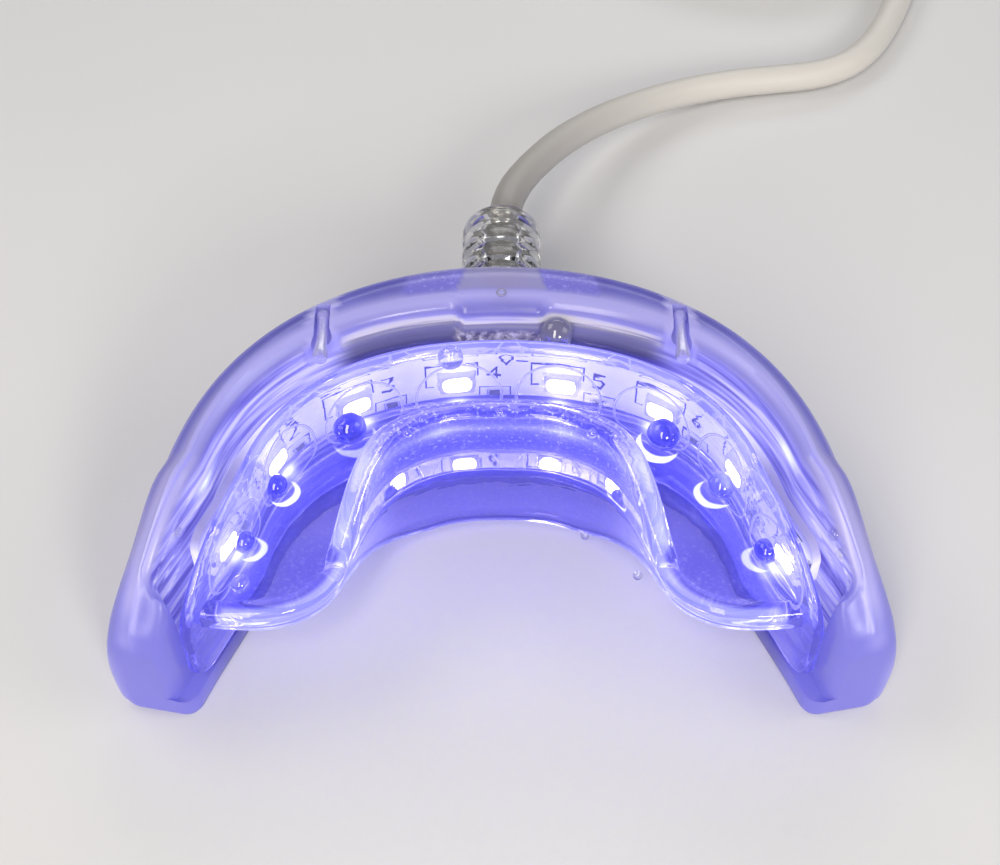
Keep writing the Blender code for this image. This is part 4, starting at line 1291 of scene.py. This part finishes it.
def make_relief(mat):
    r, bore, root, end = RELIEF_R, RELIEF_BORE_R, RELIEF_ROOT_Y, RELIEF_END_Y
    slots = [RIB_FIRST_Y + i * RIB_PITCH for i in range(RIB_COUNT)]
    groove = ((0.0, 0.78), (0.04, 0.66), (0.2, 0.57), (0.48, 0.5), (0.5, 0.42))
    profile = [(bore, root), (r - 0.4, root), (r, root + 0.4)]
    for y in slots:
        profile += [(r - deep, y - off) for deep, off in groove]
        profile += [(r - deep, y + off) for deep, off in groove[::-1]]
    profile += [(r, end - 0.8), (r - 0.06, end - 0.5), (r - 0.2, end - 0.22), (r - 0.45, end - 0.05)]
    profile += [(r - 0.7, end), (bore + 0.2, end), (bore, end - 0.2)]
    sleeve = revolved("cord_sleeve", profile, (0, 0, EXIT_Z), (0, 1, 0), 96, mat)
    cutters = [solid_rod("c_bore", bore + 0.02, (0, root - 1, EXIT_Z), (0, end + 1, EXIT_Z), 72)]
    for y in slots:
        for x in (-SLEEVE_WINDOW_X, SLEEVE_WINDOW_X):
            cutters.append(solid_box("c_window", SLEEVE_WINDOW, (x, y, EXIT_Z)))
    boolean(sleeve, cutters, "DIFFERENCE", 0)
    bevel = sleeve.modifiers.new("soft", "BEVEL")
    bevel.width = SLEEVE_SOFT * MM
    bevel.segments = 2
    bevel.limit_method = "ANGLE"
    bevel.angle_limit = math.radians(50.0)
    sleeve.data = evaluated_mesh(sleeve)
    sleeve.modifiers.clear()
    smooth_shade(sleeve.data, 40.0)
    ride(sleeve, "clear_sleeve", "strain_relief")


def torus(name, steps, place, mat):
    """A round wire closed in a loop, with place(angle, turn) for its points."""
    turns = [2 * math.pi * j / 8 for j in range(8)]
    rings = [[place(2 * math.pi * k / steps, turn) for turn in turns] for k in range(steps)]
    return loft(name, rings, (mat,), 60.0, True)


def make_rings(mat):
    """The round rim moulded on the tray's wall in front of each lamp."""
    for i, middle in enumerate(led_places()):

        def place(angle, turn):
            rho = RING_R + RING_WIRE * math.cos(turn)
            s = middle + rho * math.cos(angle)
            r = wall_front(s) - RING_WIRE * 0.4 * math.sin(turn) - 0.02
            return on_arch(s, r, LED_Z + rho * math.sin(angle))

        rim = torus(f"lens_rim_{i + 1}", 64, place, mat)
        vertex_values(rim, glow=np.full(len(rim.data.vertices), 0.3))
        ride(rim, "clear_tray")


def make_beads(mats):
    """Small round drops of the moulding on the tray's wall, ridge and rim."""
    turns = [math.pi * k / 20 for k in range(1, 20)]
    for i, (x, y, z, size, mat) in enumerate(BEADS):
        name = f"moulded_bead_{i + 1}"
        profile = [(size * math.sin(t) * (1.0 - 0.06 * math.cos(t)), -size * math.cos(t)) for t in turns]
        bead = revolved(name, profile, (x, y, z), BEAD_AXIS, BEAD_FACETS, mats[mat], 80.0)
        ride(bead, "clear_tray")


def make_marks(mats):
    """A small round mould mark on the middle block of the rim."""

    def place(angle, turn):
        rho = MARK_R + MARK_WIRE * math.cos(turn)
        return (rho * math.cos(angle), MARK_Y + rho * math.sin(angle), MARK_Z + MARK_WIRE * math.sin(turn))

    ride(torus("mould_mark", 32, place, mats["mark"]), "frosted_shell")


def keep_nodes(mats):
    """The solids that are shown as they are get their materials."""
    kept = {"coil_tie": "tie", "usb_tongue": "tongue"}
    kept.update({f"solder_joint_{end}": "solder" for end in ("positive", "negative")})
    kept.update({f"usb_contact_{i}": "gold" for i in range(1, 5)})
    for name, mat in kept.items():
        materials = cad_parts[name].data.materials
        materials.clear()
        materials.append(mats[mat])


# Floor and world


def make_stage():
    bm = bmesh.new()
    bmesh.ops.create_grid(bm, x_segments=1, y_segments=1, size=1.6)
    mesh = bpy.data.meshes.new("floor")
    bm.to_mesh(mesh)
    bm.free()
    n = Nodes("floor_pale", (0.70, 0.70, 0.72), 0.55)
    n.set(base_color=n.mix(n.noise(18.0, 3.0), (0.68, 0.68, 0.70), (0.72, 0.72, 0.74)))
    floor = link("floor", mesh, (n.mat,), 0)
    floor.location = (0.0, 0.0, -0.00002)
    world = bpy.data.worlds.new("studio")
    bpy.context.scene.world = world
    world.use_nodes = True
    background = world.node_tree.nodes["Background"]
    background.inputs["Color"].default_value = (0.92, 0.93, 1.0, 1.0)
    background.inputs["Strength"].default_value = 0.24
    middle, left, right = (0.0, 0.0, 0.01), (-0.03, -0.02, 0.01), (0.03, -0.02, 0.01)
    for row in (
        ("key", (-0.30, 0.12, 0.40), middle, (0.30, 0.22), 0.50, (1.0, 0.97, 0.92)),
        ("fill", (0.36, -0.05, 0.30), middle, (0.25, 0.25), 0.38, (0.96, 0.97, 1.0)),
        ("back", (0.05, 0.45, 0.30), middle, (0.50, 0.12), 0.45, (1.0, 1.0, 1.0)),
        ("front_left", (-0.12, -0.38, 0.35), left, (0.12, 0.46), 1.7, (1.0, 0.94, 0.80)),
        ("front_right", (0.16, -0.42, 0.25), right, (0.10, 0.12), 0.9, (1.0, 0.96, 0.86)),
    ):
        soft_light(*row)
    bpy.context.scene.view_settings.view_transform = "Standard"


# The whole scene


def make_materials():
    glassy = {"transmission_weight": 1.0, "coat_weight": 1.0, "coat_roughness": 0.02}
    return {
        "tray": tray_material(),
        "shell": shell_material(),
        "mark": plain_material("mark_grey", (0.30, 0.29, 0.46), 0.4),
        # Painted shade: the beads' deep blue stands in for the dark seen through clear drops
        "bead": plain_material("bead_blue", (0.15, 0.14, 0.72), 0.02, vary=0.10, ior=1.45, **glassy),
        "drop": plain_material("bead_clear", (0.86, 0.86, 0.95), 0.02, vary=0.05, ior=1.35, **glassy),
        "haze": plain_material(
            "bead_hazy", (0.27, 0.26, 0.46), 0.10, 0.3, 900.0, 0.35,
            transmission_weight=0.45, ior=1.45, coat_weight=1.0, coat_roughness=0.03,
        ),
        "pin": plain_material(
            "pin_lavender", (0.46, 0.44, 0.92), 0.32, 0.1, 900.0, 0.10, transmission_weight=0.4, ior=1.45,
        ),
        "board": board_material(),
        "print": plain_material("strip_print", (0.03, 0.025, 0.10), 0.5),
        "led_body": plain_material("led_body", (0.88, 0.88, 0.95), 0.35),
        "led": lit_material(),
        "chip": plain_material("chip_dark", (0.045, 0.045, 0.06), 0.4, 0.1),
        "solder": metal_material("solder", (0.74, 0.74, 0.76), 0.3, UNIT),
        "red": plain_material("wire_red", (0.60, 0.05, 0.05), 0.45, 0.1),
        "black": plain_material("wire_black", (0.03, 0.03, 0.035), 0.45, 0.1),
        "relief": plain_material(
            "clear_sleeve", (0.96, 0.96, 0.95), 0.07, 0.1, 900.0, 0.02, transmission_weight=1.0, ior=1.42,
        ),
        "cord": cord_material(),
        "tie": plain_material("tie_white", (0.80, 0.80, 0.79), 0.5, 0.2, 1800.0),
        "steel": metal_material("plug_steel", (0.74, 0.74, 0.75), 0.26, (1.0, 1.0, 9.0)),
        "tongue": plain_material("tongue_white", (0.84, 0.84, 0.82), 0.5, 0.1),
        "gold": metal_material("contact_gold", (0.90, 0.68, 0.30), 0.22, (8.0, 1.0, 1.0)),
    }


def main():
    make_camera()
    mats = make_materials()
    end, ahead = make_cord(mats)
    make_plug(end, ahead, mats)
    make_shell(mats["shell"])
    make_tray(mats["tray"])
    make_strip(mats)
    make_print(mats["print"])
    make_leds(mats)
    make_resistors(mats)
    make_wires(mats)
    make_pins(mats["pin"])
    make_relief(mats["relief"])
    make_rings(mats["tray"])
    make_beads(mats)
    make_marks(mats)
    keep_nodes(mats)
    make_stage()


main()
